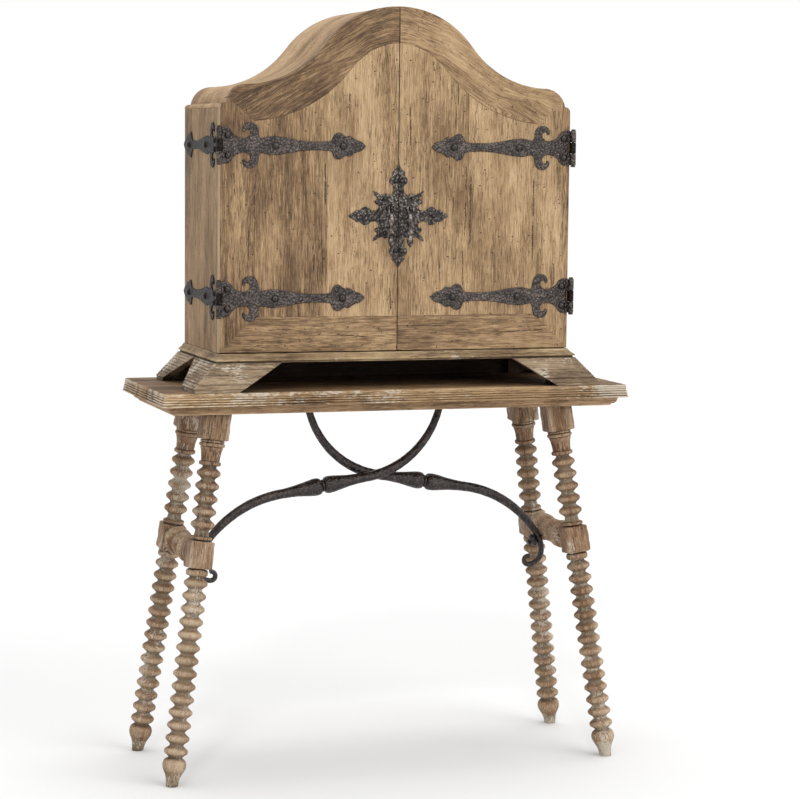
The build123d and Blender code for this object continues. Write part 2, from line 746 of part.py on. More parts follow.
for shelf_name, height in zip(("shelf_lower", "shelf_upper"), shelf_heights):
    shelf_front = carcass_front - shelf_front_gap
    shelf_back = back_front - seat_gap
    with BuildPart() as shelf:
        with BuildSketch(Plane.XY.offset(floor_top + height)):
            with Locations((0, (shelf_back - shelf_front) / 2)):
                Rectangle(2 * (inner_half - seat_gap), shelf_back + shelf_front)
        extrude(amount=shelf_thickness)
    save(shelf.part, shelf_name)

with BuildPart() as door_catches:
    with BuildSketch(Plane.XY.offset(floor_top)):
        with GridLocations(2 * catch_place, 0, 2, 1):
            with Locations((0, catch_depth / 2 - carcass_front)):
                Rectangle(catch_width, catch_depth)
    extrude(amount=catch_height)
save(door_catches.part, "door_catches")


# ---------------------------------------------------------------- strap hinges
def surface(side, kind):
    """Plane on a wooden face, at height zero, under a hinge: X runs along its leaf, Z points out."""
    if kind == "door":
        return Plane(origin=(side * pivot_x, -door_front, 0), x_dir=(-side, 0, 0), z_dir=(0, -1, 0))
    return Plane(origin=(side * half_width, pivot_y, 0), x_dir=(0, 1, 0), z_dir=(side, 0, 0))


def raised(plane, height):
    """The same plane, moved up."""
    return Plane(plane.origin + Vector(0, 0, height), x_dir=plane.x_dir, z_dir=plane.z_dir)


def leaf_face():
    """Outline of a strap leaf, drawn above its middle line and mirrored."""
    barb, lobe = ([(leaf_length - u, v) for u, v in row] for row in (spear_barb, spear_lobe))
    with BuildSketch() as face:
        with BuildLine():
            Polyline((leaf_start, 0), (leaf_start, leaf_fan[0][1]), *leaf_fan)
            Polyline(leaf_fan[-1], *leaf_scroll_hollow, *leaf_scroll_tip)
            ThreePointArc(*leaf_scroll_back)
            Polyline(*leaf_scroll_heel, *leaf_swell, *barb, *lobe, (leaf_start, 0))
        make_face()
        mirror(about=Plane.XZ)
    return face.sketch


def knuckle_section(side, kind):
    """Section of a leaf's knuckles: the barrel round the pin and the web that joins it to the plate."""
    plane = surface(side, kind)
    web = [(0, web_thickness), (web_length, web_thickness), (web_length, 0), (web_thickness / 2, 0)]
    corners = [plane.from_local_coords(Vector(u, 0, w)) for u, w in web]
    with BuildSketch() as section:
        Polygon(*[(corner.X, corner.Y) for corner in corners], align=None)
        with Locations((side * pivot_x, pivot_y)):
            RegularPolygon(knuckle_radius, turning_flats, rotation=half_flat)
            bore = hinge_pin_radius + bore_play / 2
            RegularPolygon(bore, turning_flats, major_radius=False, rotation=half_flat, mode=Mode.SUBTRACT)
    return section.sketch


outer_knuckle = (barrel_height - middle_knuckle) / 2
knuckles = {
    "door": [(-barrel_height / 2, outer_knuckle), (middle_knuckle / 2, outer_knuckle)],
    "side": [(knuckle_gap - middle_knuckle / 2, middle_knuckle - 2 * knuckle_gap)],
}
heights = {"lower": door_foot + hinge_heights[0], "upper": door_foot + hinge_heights[1]}
for side_name, side in sides.items():
    for place, height in heights.items():
        for kind in knuckles:
            with BuildPart() as leaf:
                with BuildSketch(raised(surface(side, kind), height)):
                    add(leaf_face())
                extrude(amount=leaf_thickness)
                for foot, length in knuckles[kind]:
                    with BuildSketch(Plane.XY.offset(height + foot)):
                        add(knuckle_section(side, kind))
                    extrude(amount=length)
            save(leaf.part, f"{kind}_leaf_{place}_{side_name}")

pin_places = (-pivot_x, pivot_y), (pivot_x, pivot_y)
with BuildPart() as hinge_pins:
    for height in heights.values():
        pin_foot = height - barrel_height / 2 - seat_gap
        with BuildSketch(Plane.XY.offset(pin_foot)):
            with Locations(*pin_places):
                Circle(hinge_pin_radius)
        extrude(amount=barrel_height + 2 * seat_gap)
        for head_foot in (pin_foot - pin_head_height, height + barrel_height / 2 + seat_gap):
            with BuildSketch(Plane.XY.offset(head_foot)):
                with Locations(*pin_places):
                    RegularPolygon(pin_head_radius, turning_flats)
            extrude(amount=pin_head_height)
save(hinge_pins.part, "hinge_pins")

# ---------------------------------------------------------------- sides of the cabinet
for side_name, side in sides.items():
    with BuildPart() as cabinet_side:
        with BuildSketch(Plane.XY.offset(plinth_top)):
            with Locations((side * (half_width - side_thickness / 2), (cabinet_back - carcass_front) / 2)):
                Rectangle(side_thickness, cabinet_back + carcass_front)
        extrude(amount=side_top - plinth_top)
    save(cabinet_side.part, f"cabinet_side_{side_name}")


# ---------------------------------------------------------------- doors
def rail_edge(x):
    """Height of the top rail's lower edge at a distance from the middle."""
    crown, cove = crown_radius - top_rail_depth, cove_radius + top_rail_depth
    if x < crown * cove_x / hypot(cove_x, cove_z - crown_z):
        return crown_z + sqrt(crown**2 - x**2)
    return cove_z - sqrt(cove**2 - (cove_x - x) ** 2)


def rail_line(start, end):
    """Points of the top rail's lower edge between two distances from the middle."""
    places = [start + (end - start) * step / rail_steps for step in range(rail_steps + 1)]
    return [(x, rail_edge(x)) for x in places]


def plate_plane(side):
    """Plane on a door's face at the middle of the escutcheon, with its X away from the other door."""
    if side > 0:
        return Plane(origin=(0, -door_front, plate_z), x_dir=(1, 0, 0), z_dir=(0, -1, 0))
    return Plane(origin=(0, -door_front, plate_z), x_dir=(-1, 0, 0), z_dir=(0, -1, 0))


stile_in = door_edge - stile_width
rail_top = door_foot + bottom_rail_width
shoulder_rise = half_width - stile_in
door_regions = {
    "stile": [
        (stile_in, rail_top),
        (door_edge, door_foot),
        (half_width + shoulder_rise, door_foot),
        (half_width + shoulder_rise, rail_edge(stile_in) + shoulder_mitre * 2 * shoulder_rise),
        (stile_in, rail_edge(stile_in)),
    ],
    "top_rail": [
        *rail_line(0, plank_seam),
        *rail_line(plank_seam, stile_in)[1:],
        (half_width + shoulder_rise, rail_edge(stile_in) + shoulder_mitre * 2 * shoulder_rise),
        (half_width + shoulder_rise, door_apex + 1),
        (0, door_apex + 1),
    ],
    "bottom_rail": [(0, door_foot), (door_edge, door_foot), (stile_in, rail_top), (0, rail_top)],
    "inner_plank": [(0, rail_top), (plank_seam, rail_top), *reversed(rail_line(0, plank_seam))],
    "outer_plank": [(plank_seam, rail_top), (stile_in, rail_top), *reversed(rail_line(plank_seam, stile_in))],
}


def half_points(side, points):
    """Points of the right half of the front, mirrored for the left one."""
    return [(side * x, z) for x, z in points]


for side_name, side in sides.items():
    for piece_name, region in door_regions.items():
        with BuildPart() as door_piece:
            with BuildSketch(Plane.XZ.offset(door_back)):
                add(arch_face(0, door_edge, door_foot, inner=door_gap / 2))
                if side < 0:
                    mirror(about=Plane.YZ, mode=Mode.REPLACE)
                Polygon(*half_points(side, region), align=None, mode=Mode.INTERSECT)
            extrude(amount=door_thickness)
        save(door_piece.part, f"door_{piece_name}_{side_name}")


# ---------------------------------------------------------------- escutcheon and drop pulls
def plate_face():
    """Half of the escutcheon: a quarter outline, mirrored down, up to the gap between the doors."""
    with BuildSketch() as face:
        with BuildLine():
            Spline(*plate_top_spear)
            Polyline(plate_top_spear[-1], plate_corner_leaf[0])
            Polyline(*plate_corner_leaf)
            Polyline(plate_corner_leaf[-1], plate_side_spear[0])
            Spline(*plate_side_spear)
            Polyline(plate_side_spear[-1], (0, 0), plate_top_spear[0])
        make_face()
        mirror(about=Plane.XZ)
        with Locations((0, 0)):
            Rectangle(door_gap, 4 * plate_top_spear[0][1], mode=Mode.SUBTRACT)
    return face.sketch


for side_name, side in sides.items():
    with BuildPart() as escutcheon:
        with BuildSketch(plate_plane(side)):
            add(plate_face())
        extrude(amount=plate_thickness)
    save(escutcheon.part, f"escutcheon_{side_name}")

    pin_plane = Plane(origin=(side * pull_x, pull_pin_y, pull_pin_z), x_dir=(0, 1, 0), z_dir=(1, 0, 0))
    to_plate = pull_pin_out - plate_thickness
    with BuildPart() as pull_bracket:
        with BuildSketch(pin_plane):
            Circle(lug_radius)
            Polygon((0, lug_radius), (0, -lug_radius), (to_plate / 2, -lug_radius), (to_plate, -lug_base / 2),
                    (to_plate, lug_base / 2), (to_plate / 2, lug_radius), align=None)
            RegularPolygon(pull_bore, turning_flats, major_radius=False, mode=Mode.SUBTRACT)
        extrude(amount=lug_thickness / 2, both=True)
    save(pull_bracket.part, f"pull_bracket_{side_name}")

    with BuildPart() as pull_pin:
        with BuildSketch(pin_plane):
            RegularPolygon(pull_pin_radius, turning_flats)
        extrude(amount=arm_out + pull_pin_radius, both=True)
    save(pull_pin.part, f"pull_pin_{side_name}")

    slot_half = lug_thickness / 2 + lug_play
    fork = [(arm_out, arm_top), (arm_out, -arm_join / 2), (pull_shaft_radius, -arm_join)]
    slot = [(slot_half, arm_top), (slot_half, -lug_radius - 2)]
    bulb_middle = (pull_collar_place + pull_collar_width + pull_length) / 2
    drop = [
        (pull_tip_radius, -pull_length),
        (pull_bulb_radius, -bulb_middle),
        (pull_shaft_radius, -pull_collar_place - pull_collar_width - 3),
        (pull_collar_radius, -pull_collar_place - pull_collar_width),
        (pull_collar_radius, -pull_collar_place),
        (pull_shaft_radius, -pull_collar_place + 3),
        (pull_swell_radius, -(arm_join + pull_collar_place) / 2),
        (pull_shaft_radius, -arm_join + 2),
    ]
    with BuildPart() as pull:
        with BuildSketch(Plane.XZ.offset(-pull_pin_y)):
            with Locations((side * pull_x, pull_pin_z)):
                Polygon(*fork, *[(-x, z) for x, z in reversed(fork)], align=None)
                Polygon(*slot, *[(-x, z) for x, z in reversed(slot)], align=None, mode=Mode.SUBTRACT)
        extrude(amount=arm_depth / 2, both=True)
        add(turning(Plane((side * pull_x, pull_pin_y, pull_pin_z)), drop))
        with BuildSketch(pin_plane):
            RegularPolygon(pull_bore, turning_flats, major_radius=False)
        extrude(amount=arm_out + bore_play, both=True, mode=Mode.SUBTRACT)
    save(pull.part, f"pull_{side_name}")
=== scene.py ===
import math
import random

import bmesh
import bpy
import numpy as np
from mathutils import Matrix, Vector, noise
from mathutils.bvhtree import BVHTree
from mathutils.geometry import delaunay_2d_cdt


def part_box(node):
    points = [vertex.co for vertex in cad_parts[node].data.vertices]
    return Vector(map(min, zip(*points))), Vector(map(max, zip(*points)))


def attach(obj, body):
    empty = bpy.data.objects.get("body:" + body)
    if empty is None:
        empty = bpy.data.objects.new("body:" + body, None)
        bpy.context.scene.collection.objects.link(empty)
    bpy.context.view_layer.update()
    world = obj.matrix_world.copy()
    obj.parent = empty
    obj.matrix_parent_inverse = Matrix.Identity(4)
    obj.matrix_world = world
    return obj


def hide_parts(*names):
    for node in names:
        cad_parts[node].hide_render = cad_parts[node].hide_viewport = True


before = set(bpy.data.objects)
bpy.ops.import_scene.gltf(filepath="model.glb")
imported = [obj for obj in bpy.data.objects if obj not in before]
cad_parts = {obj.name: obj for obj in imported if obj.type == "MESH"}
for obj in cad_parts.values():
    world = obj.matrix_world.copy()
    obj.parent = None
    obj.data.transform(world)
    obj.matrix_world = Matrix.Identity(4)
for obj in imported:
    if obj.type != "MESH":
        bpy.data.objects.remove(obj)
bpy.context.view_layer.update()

# Lengths are in millimetres up to the point where a mesh is made, and in metres or per metre in the materials.
# X runs to the right, Y to the back, Z up.
MM = 0.001
STAND = "cabinet_and_stand"
SIDES = {"left": -1, "right": 1}
ENDS = {"front": -1, "back": 1}
X, Y, UP = Vector((1, 0, 0)), Vector((0, 1, 0)), Vector((0, 0, 1))


def node_box(name):
    """Lowest and highest corner of a CAD node, in millimetres."""
    low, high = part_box(name)
    return low / MM, high / MM


slab_low, slab_high = node_box("table_top")
under_low, under_high = node_box("under_board")
plinth_low, plinth_high = node_box("plinth")
plate_low, plate_high = node_box("escutcheon_right")
_, door_front, door_foot = node_box("door_stile_right")[0]
half_width, cabinet_back, _ = node_box("cabinet_side_right")[1]
plate_z = (plate_low.z + plate_high.z) / 2
under_bottom = under_low.z

# ---- grain
LOG_SIZE = 40                   # each piece is cut from its own place in a log of this size, in metres
ARCH_REACH, ARCH_RISE = 415, 205        # the arch's outline above its shoulders, near enough for its grain


def log_place(name):
    """A piece's place in the log, which depends on nothing but its name."""
    draw = random.Random(sum(ord(c) * (k + 7) for k, c in enumerate(name)))
    return Vector([draw.uniform(0, LOG_SIZE) for _ in range(3)])


def lined_up(axis, name):
    """Grain coordinates in metres, of which the first runs along the axis."""
    along = Vector(axis).normalized()
    across = along.orthogonal().normalized()
    third = along.cross(across)
    start = log_place(name)
    return lambda p: Vector((p.dot(along), p.dot(across), p.dot(third))) * MM + start


def arch_grain(name):
    """Grain that follows the arch."""
    start = log_place(name)

    def grain(p):
        rise = ARCH_RISE * (0.5 + 0.5 * math.cos(math.pi * min(abs(p.x) / ARCH_REACH, 1)))
        return Vector((p.x * 1.12, p.z - 0.92 * rise, p.y)) * MM + start
    return grain


def board_grain(node):
    """Grain of a door's board: along the rails, up the stiles and planks."""
    if "top_rail" in node:
        return arch_grain(node)
    return lined_up(X if "bottom_rail" in node else UP, node)


# ---- node trees


def tint(code):
    """Linear colour of an sRGB hex code."""
    parts = [int(code[k:k + 2], 16) / 255 for k in (0, 2, 4)]
    return (*[c / 12.92 if c <= 0.04045 else ((c + 0.055) / 1.055) ** 2.4 for c in parts], 1)


def shader(tree, kind, inputs=None, **settings):
    """A new node with its settings; an input is a constant or a Value to link."""
    made = tree.nodes.new("ShaderNode" + kind)
    for key, setting in settings.items():
        setattr(made, key, setting)
    for key, given in (inputs or {}).items():
        if isinstance(given, Value):
            tree.links.new(given.socket, made.inputs[key])
        else:
            made.inputs[key].default_value = given
    return made


class Value:
    """An output of a node; sums and products with it make maths nodes in the same tree."""

    def __init__(self, node, output=0):
        self.tree, self.socket = node.id_data, node.outputs[output]

    def maths(self, operation, *others, **settings):
        return Value(shader(self.tree, "Math", dict(enumerate((self, *others))), operation=operation, **settings))

    def __add__(self, other):
        return self.maths("ADD", other)

    def __sub__(self, other):
        return self.maths("SUBTRACT", other)

    def __rsub__(self, number):
        return Value(shader(self.tree, "Math", {0: number, 1: self}, operation="SUBTRACT"))

    def __mul__(self, other):
        return self.maths("MULTIPLY", other)

    def __abs__(self):
        return self.maths("ABSOLUTE")

    def times_plus(self, factor, added):
        return self.maths("MULTIPLY_ADD", factor, added)

    def step(self, low, high):
        """0 below low, 1 above high and smooth between."""
        return Value(shader(self.tree, "MapRange", {0: self, 1: low, 2: high}, interpolation_type="SMOOTHSTEP"))

    def towards(self, code, amount):
        """This colour mixed with a hex colour."""
        return Value(shader(self.tree, "Mix", {0: amount, 6: self, 7: tint(code)}, data_type="RGBA"), 2)


def ramp(value, places, codes):
    """Colours at places along a value, from hex codes parted by spaces."""
    made = shader(value.tree, "ValToRGB", {0: value})
    elements = made.color_ramp.elements
    while len(elements) < len(places):
        elements.new(0.5)
    for element, place, code in zip(elements, places, codes.split()):
        element.position, element.color = place, tint(code)
    return Value(made)


def clouds(vector, along=None, across=None, scale=1.0, detail=4.0, roughness=0.55, distortion=0.0):
    """Noise, stretched along and across the grain where these scales are given."""
    if along:
        vector = Value(shader(vector.tree, "Mapping", {"Vector": vector, "Scale": (along, across, across)}))
    inputs = {"Vector": vector, "Scale": scale, "Detail": detail, "Roughness": roughness, "Distortion": distortion}
    return Value(shader(vector.tree, "TexNoise", inputs))


def open_air(tree, distance):
    """How open the surface is to what lies within a distance."""
    return Value(shader(tree, "AmbientOcclusion", {"Distance": distance}, samples=6), "AO")


def seen_straight(tree):
    """1 for rays from the camera and those that glossy or clear surfaces pass on, 0 for light."""
    rays = shader(tree, "LightPath")
    seen = Value(rays, "Is Camera Ray").maths("MAXIMUM", Value(rays, "Is Glossy Ray"))
    return seen.maths("MAXIMUM", Value(rays, "Is Transmission Ray"))


def new_material(name):
    material = bpy.data.materials.new(name)
    material.use_nodes = True
    return material, material.node_tree.nodes["Principled BSDF"]


def held_values(surface):
    """The grain coordinates and the height over its surroundings that each point of a piece holds."""
    attributes = (("grain", "Vector"), ("raised", "Fac"))
    return [Value(shader(surface.id_data, "Attribute", attribute_name=name), output) for name, output in attributes]


def coat(surface, colour, roughness, height, strength, depth, shine, metal=0.0):
    """Gives a shader its colour, roughness and relief."""
    bump = Value(shader(surface.id_data, "Bump", {"Height": height, "Strength": strength, "Distance": depth}))
    for key, value in (("Base Color", colour), ("Roughness", roughness), ("Normal", bump)):
        surface.id_data.links.new(value.socket, surface.inputs[key])
    surface.inputs["Specular IOR Level"].default_value = shine
    surface.inputs["Metallic"].default_value = metal


# ---- materials
# Worm holes of flat and of round pieces: cells per metre, size in cells and the share of cells that have one.
WORMS = {True: ((24.0, 0.05, 0.4), (48.0, 0.07, 0.22)), False: ((46.0, 0.09, 0.6), (80.0, 0.12, 0.4))}
CRACK_SOFTNESS = 0.0003         # half the width over which a crack's edge fades


def worm_holes(grain, flat, scale, size, share):
    """Round holes scattered over the surface; those of a flat board are drawn in two dimensions."""
    cells = shader(grain.tree, "TexVoronoi", {"Vector": grain, "Scale": scale},
                   voronoi_dimensions="2D" if flat else "3D")
    chance = Value(shader(grain.tree, "SeparateColor", {0: Value(cells, "Color")}))
    return (1 - Value(cells, "Distance").step(size * 0.6, size)) * chance.step(1 - share, 1.02 - share)


def dark_lines(grain):
    """Thin broken lines that follow the grain: contours of stretched noise, kept where a broader noise is high."""
    off_line = abs(clouds(grain, 2.2, 52, roughness=0.62, distortion=0.35) - 0.5)
    return (1 - off_line.step(0.0033, 0.011)) * clouds(grain, 1.98, 6.76, detail=2).step(0.52, 0.62)


def crack_lines(grain, cracks):
    """Single cracks: each is a start, its run, the way across it and a width, and wavers a little."""
    waver = (clouds(grain, scale=140, detail=3, roughness=0.6) - 0.5) * 0.006
    broken = clouds(grain, scale=95, detail=2).step(0.36, 0.46)
    shown = None
    for start, run, aside, width in cracks:
        length = run.length
        off = Value(shader(grain.tree, "VectorMath", {0: grain, 1: start}, operation="SUBTRACT"))
        along, across = [Value(shader(grain.tree, "VectorMath", {0: off, 1: way}, operation="DOT_PRODUCT"), "Value")
                         for way in (run / length, aside)]
        reach = 1 - abs(along - length / 2).step(length * 0.36, length * 0.5)
        narrow = reach.times_plus(width * MM * 0.85 + 0.0004, -0.0004)
        line = (narrow - abs(across + waver)).step(-CRACK_SOFTNESS, CRACK_SOFTNESS)
        shown = shown.maths("MAXIMUM", line) if shown else line
    return shown * broken.times_plus(0.75, 0.25)


def wood(name, tones, lime=None, groove=None, cracks=1.0, wear=0.0, relief=1.0, painted_shade_and_grime=0.65, single=(), flat=False,
         painted_side_light=0.0):
    """Old weathered wood; tones run from the darkest streaks to the palest; lime is the level where it is left."""
    material, surface = new_material(name)
    grain, raised = held_values(surface)
    figure = clouds(grain, 2.2, 26, distortion=0.5)
    streak = clouds(grain, 7, 150, detail=5, roughness=0.75)
    fine = clouds(grain, 24, 460, roughness=0.8)
    blotch = clouds(grain, 18, 26, detail=8, roughness=0.75)
    tone = (raised - 0.5).times_plus(0.16, 0.5)
    layers = (clouds(grain, 2.2, 6.5, roughness=0.6, distortion=0.4), 0.36), (figure, 0.26), (streak, 0.2)
    for layer, weight in (*layers, (fine, 0.55), (blotch, 0.2)):
        tone = (layer - 0.5).times_plus(weight, tone)
    colour = ramp(tone, (0.36, 0.445, 0.53, 0.64), tones)
    if groove:
        hollow = 1 - (blotch - 0.5).times_plus(1.8, raised).step(0.05, 0.6)
        colour = colour.towards(groove, hollow * 0.65)
    colour = colour.towards("65492f", clouds(grain, 3.5, 8, detail=6, roughness=0.65).step(0.5, 0.7) * 0.4)
    crack = (dark_lines(grain) * 0.75).maths("MULTIPLY", cracks, use_clamp=True)
    if single:
        crack = crack.maths("MAXIMUM", crack_lines(grain, single))
    colour = colour.towards("2a1e15", crack * 0.88)
    pore = clouds(grain, 34, 430, detail=2, roughness=0.6).step(0.58, 0.65)
    pore *= clouds(grain, 5, 24, detail=3).step(0.44, 0.62).times_plus(0.8, 0.2)
    colour = colour.towards("3e2c1e", pore * 0.7)
    large, small = [worm_holes(grain, flat, *worms) for worms in WORMS[flat]]
    hole = large.maths("MAXIMUM", small)
    colour = colour.towards("2a1e16", hole * 0.85)
    # Painted highlight: faces that turn to the left or right are made paler, as if lit from the side.
    if painted_side_light:
        normal = Value(shader(grain.tree, "TexCoord"), "Normal")
        facing = abs(Value(shader(grain.tree, "SeparateXYZ", {0: normal}))).step(0.6, 0.95)
        colour = colour.towards("e2cba8", facing * painted_side_light)
    # Painted shade and grime: darker where nearby parts close the surface in, in joints, grooves and round the
    # ironwork.
    colour = colour.towards("33251a", (1 - open_air(grain.tree, 0.022).step(0.15, 0.85)) * painted_shade_and_grime)
    if lime:
        flakes = clouds(grain, 8, 12).times_plus(1.2, clouds(grain, 70, 260, detail=5, roughness=0.75))
        colour = colour.towards("d3c8b6", raised.times_plus(wear, flakes).step(lime, lime + 0.05) * 0.7)
    height = figure.times_plus(0.6, streak * 0.8)
    for layer, depth in ((crack, -1.0), (pore, -0.4), (hole, -1.0)):
        height = layer.times_plus(depth, height)
    coat(surface, colour, fine.times_plus(0.3, 0.53), height, 0.75 * relief, 0.0015, shine=0.3)
    return material


def iron(name, tones, dimple, rough, depth, speckle, shine=0.9, painted_shade_reach=0.016):
    """Forged iron with hammer marks; nail heads (raised above 1) are rubbed smooth, and their seats (below 0) are
    painted dark as shade round the heads.
    """
    material, surface = new_material(name)
    place, raised = held_values(surface)
    cells = {"Vector": place, "Scale": dimple, "Smoothness": 0.3}
    marks = 0.45 - Value(shader(place.tree, "TexVoronoi", cells, feature="SMOOTH_F1"), "Distance")
    rust = clouds(place, scale=30, detail=6, roughness=0.65)
    grit = clouds(place, scale=420, roughness=0.7)
    tone = grit.times_plus(0.35, marks.times_plus(speckle, rust.times_plus(0.35, 0.1)))
    nail = raised.step(1.2, 1.8)
    colour = ramp(tone, (0.33, 0.45, 0.6), tones).towards("2c2522", nail * 0.8)
    # Painted shade: the nail seats are made near black for the shadow round each head.
    colour = colour.towards("15100d", (1 - raised.step(-0.7, -0.2)) * 0.85)
    # Painted shade: near black where nearby parts close the surface in, such as behind the pulls and under edges.
    colour = colour.towards("0c0a09", (1 - open_air(place.tree, painted_shade_reach).step(0.1, 0.8)) * 0.85)
    roughness = nail.times_plus(-0.14, rust.times_plus(0.3, rough - 0.15))
    height = grit.times_plus(0.3, marks) * nail.times_plus(-0.75, 1.0)
    coat(surface, colour, roughness, height, 1.0, depth, shine, metal=0.6)
    return material


# Single cracks on the doors: X and Z of both ends, and a width.
DOOR_CRACKS = {
    "door_stile_left": ((-383, 1532, -380, 1431, 2.6), (-380, 1440, -378, 1340, 2.2), (-435, 1560, -433, 1495, 1.2),
        (-398, 1420, -396, 1330, 1.1)),
    "door_outer_plank_left": ((-197, 1590, -195, 1468, 2.0), (-217, 1320, -212, 1265, 1.6),
        (-204, 1400, -201, 1290, 1.2), (-228, 1380, -226, 1300, 1.1)),
    "door_inner_plank_left": ((-133, 1762, -132, 1706, 1.8), (-22, 1268, -17, 1202, 1.5)),
    "door_bottom_rail_left": ((-172, 1146, -84, 1138, 1.6), (-350, 1158, -280, 1160, 1.2)),
    "door_inner_plank_right": ((29, 1742, 32, 1620, 1.6), (184, 1582, 184, 1509, 1.4), (184, 1509, 181, 1386, 1.0),
        (158, 1788, 161, 1727, 1.3), (108, 1832, 111, 1790, 1.6), (176, 1380, 177, 1256, 1.1),
        (114, 1330, 114, 1274, 1.1), (150, 1499, 149, 1453, 1.1), (92, 1846, 93, 1816, 1.4)),
    "door_outer_plank_right": ((197, 1554, 196, 1460, 1.8), (196, 1465, 196, 1369, 1.6),
        (371, 1550, 371, 1440, 1.7), (371, 1440, 370, 1323, 1.5)),
    "door_bottom_rail_right": ((281, 1145, 415, 1151, 1.6), (30, 1166, 130, 1163, 1.1)),
}


def door_board_wood(node):
    """The doors' wood with the cracks of one board: one material can't hold those of all the boards."""
    grain, single = board_grain(node), []
    for x1, z1, x2, z2, width in DOOR_CRACKS.get(node, ()):
        start, end = Vector((x1, door_front, z1)), Vector((x2, door_front, z2))
        middle = (start + end) / 2
        beside = middle + Vector((z2 - z1, 0, x1 - x2)).normalized()
        aside = (grain(beside) - grain(middle)).normalized()
        single.append((grain(start), grain(end) - grain(start), aside, width))
    return wood(node + "_wood", "4a3828 7f6448 ab8d68 ccae88", cracks=0.8, single=single, flat=True, painted_side_light=0.4)


WOODS = {
    # Painted shade: the sides' tones are a little darker than the doors', as the seen side faces away from the key
    # lamp.
    "side_wood": dict(tones="4c3926 7f6546 a38562 c2a07c", flat=True),
    "roof_wood": dict(tones="5e4831 967a58 b89872 d3b690", cracks=0.6),
    "inner_wood": dict(tones="3f2f20 6a5139 86694a a0825f", cracks=0.6),
    # Painted shade: near-black tones for the back skirt and foot blocks, which stand in the shadow under the cabinet.
    "underside_wood_painted_dark": dict(tones="1c130c 2c2017 3a2b1f 4a3828", cracks=0.6),
    "foot_wood": dict(tones="3a2b1f 65523e 87725a ae9a7e", lime=1.42, wear=0.3, relief=1.5, painted_shade_and_grime=0.9),
    "plinth_wood": dict(tones="4e3b2a 867054 b09873 cdb793", lime=1.4, wear=0.25, relief=1.5, painted_shade_and_grime=0.5),
    "table_wood": dict(tones="46331f 7e6346 a2845f c0a37d", lime=1.54, wear=0.7, relief=1.4, painted_shade_and_grime=0.6),
    "moulding_wood": dict(tones="6a5138 a0815f c2a280 dabf9f", painted_shade_and_grime=0.4),
    "leg_wood": dict(tones="331f15 6c4a33 927458 c2ac91", lime=1.14, wear=-0.12, groove="a0937b", relief=1.9,
                     painted_shade_and_grime=0.85),
}
IRONS = {
    "strap_iron": dict(tones="191411 3d3430 7a6e67", dimple=165, rough=0.34, depth=0.004, speckle=0.26),
    # Painted shade: the side leaves take a darker, duller copy of the strap iron, so they don't turn grey where they
    # are seen at a grazing angle.
    "side_iron": dict(tones="0c0a09 211c1a 4c4440", dimple=165, rough=0.5, depth=0.004, speckle=0.26, shine=0.2),
    # The plate's wider reach spreads its painted shade behind the pulls.
    "plate_iron": dict(tones="1a1614 473f3a 978d86", dimple=140, rough=0.32, depth=0.006, speckle=0.4, painted_shade_reach=0.035),
    "pull_iron": dict(tones="2a2320 675c56 a89e97", dimple=110, rough=0.24, depth=0.002, speckle=0.35),
    "brace_iron": dict(tones="110d0c 2d2624 5c524d", dimple=150, rough=0.36, depth=0.002, speckle=0.2),
}
MATERIALS = {name: wood(name, **facts) for name, facts in WOODS.items()}
MATERIALS.update({name: iron(name, **facts) for name, facts in IRONS.items()})
# Pieces whose finish isn't the usual one of their slot, by the start of their names.
OWN_FINISH = {"moulded_plinth": "plinth_wood", "eased_back_skirt": "underside_wood_painted_dark", "eased_foot_blocks": "underside_wood_painted_dark",
              "strap_side": "side_iron", "escutcheon_plate": "plate_iron", "drop_pull": "pull_iron"}

# ---- making pieces


class Shells:
    """Points, faces and point values of a piece that is made of closed surfaces."""

    def __init__(self):
        self.points, self.faces, self.grain, self.raised = [], [], [], []

    def add(self, points, faces, grain, raised=None):
        base = len(self.points)
        self.points += points
        self.faces += [tuple(base + k for k in face) for face in faces]
        self.grain += [grain(p) for p in points]
        self.raised += raised or [0.5] * len(points)


def placed(name, data):
    """A new object in the scene."""
    obj = bpy.data.objects.new(name, data)
    bpy.context.scene.collection.objects.link(obj)
    return obj


def finished(name, mesh, slot, body, nodes):
    """Gives a mesh its object, material and place in the frame."""
    finish = next((own for start, own in OWN_FINISH.items() if name.startswith(start)), slot)
    mesh.materials.append(door_board_wood(nodes[0]) if slot == "door_wood" else MATERIALS[finish])
    obj = placed(name, mesh)
    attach(obj, body)
    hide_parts(*nodes)
    return obj


def piece(name, shells, slot, body, nodes, sharp=38):
    """A shown piece made of shells."""
    mesh = bpy.data.meshes.new(name)
    mesh.from_pydata([p * MM for p in shells.points], [], shells.faces)
    put_values(mesh, shells.grain, shells.raised)
    made = bmesh.new()
    made.from_mesh(mesh)
    bmesh.ops.recalc_face_normals(made, faces=made.faces)
    made.to_mesh(mesh)
    made.free()
    mesh.shade_smooth()
    mesh.set_sharp_from_angle(angle=math.radians(sharp))
    finished(name, mesh, slot, body, nodes)


def put_values(mesh, grain, raised):
    """Stores the grain coordinates and how far each point stands proud."""
    held = mesh.attributes.new("grain", "FLOAT_VECTOR", "POINT")
    held.data.foreach_set("vector", np.array(grain, np.float32).ravel())
    held = mesh.attributes.new("raised", "FLOAT", "POINT")
    held.data.foreach_set("value", np.array(raised, np.float32))


def loft(rings):
    """Points and faces of a closed surface through rings of as many points each."""
    count = len(rings[0])
    last = (len(rings) - 1) * count
    faces = [tuple(reversed(range(count))), tuple(range(last, last + count))]
    for row in range(0, last, count):
        for k in range(count):
            after = (k + 1) % count
            faces.append((row + k, row + after, row + count + after, row + count + k))
    return [p for ring in rings for p in ring], faces


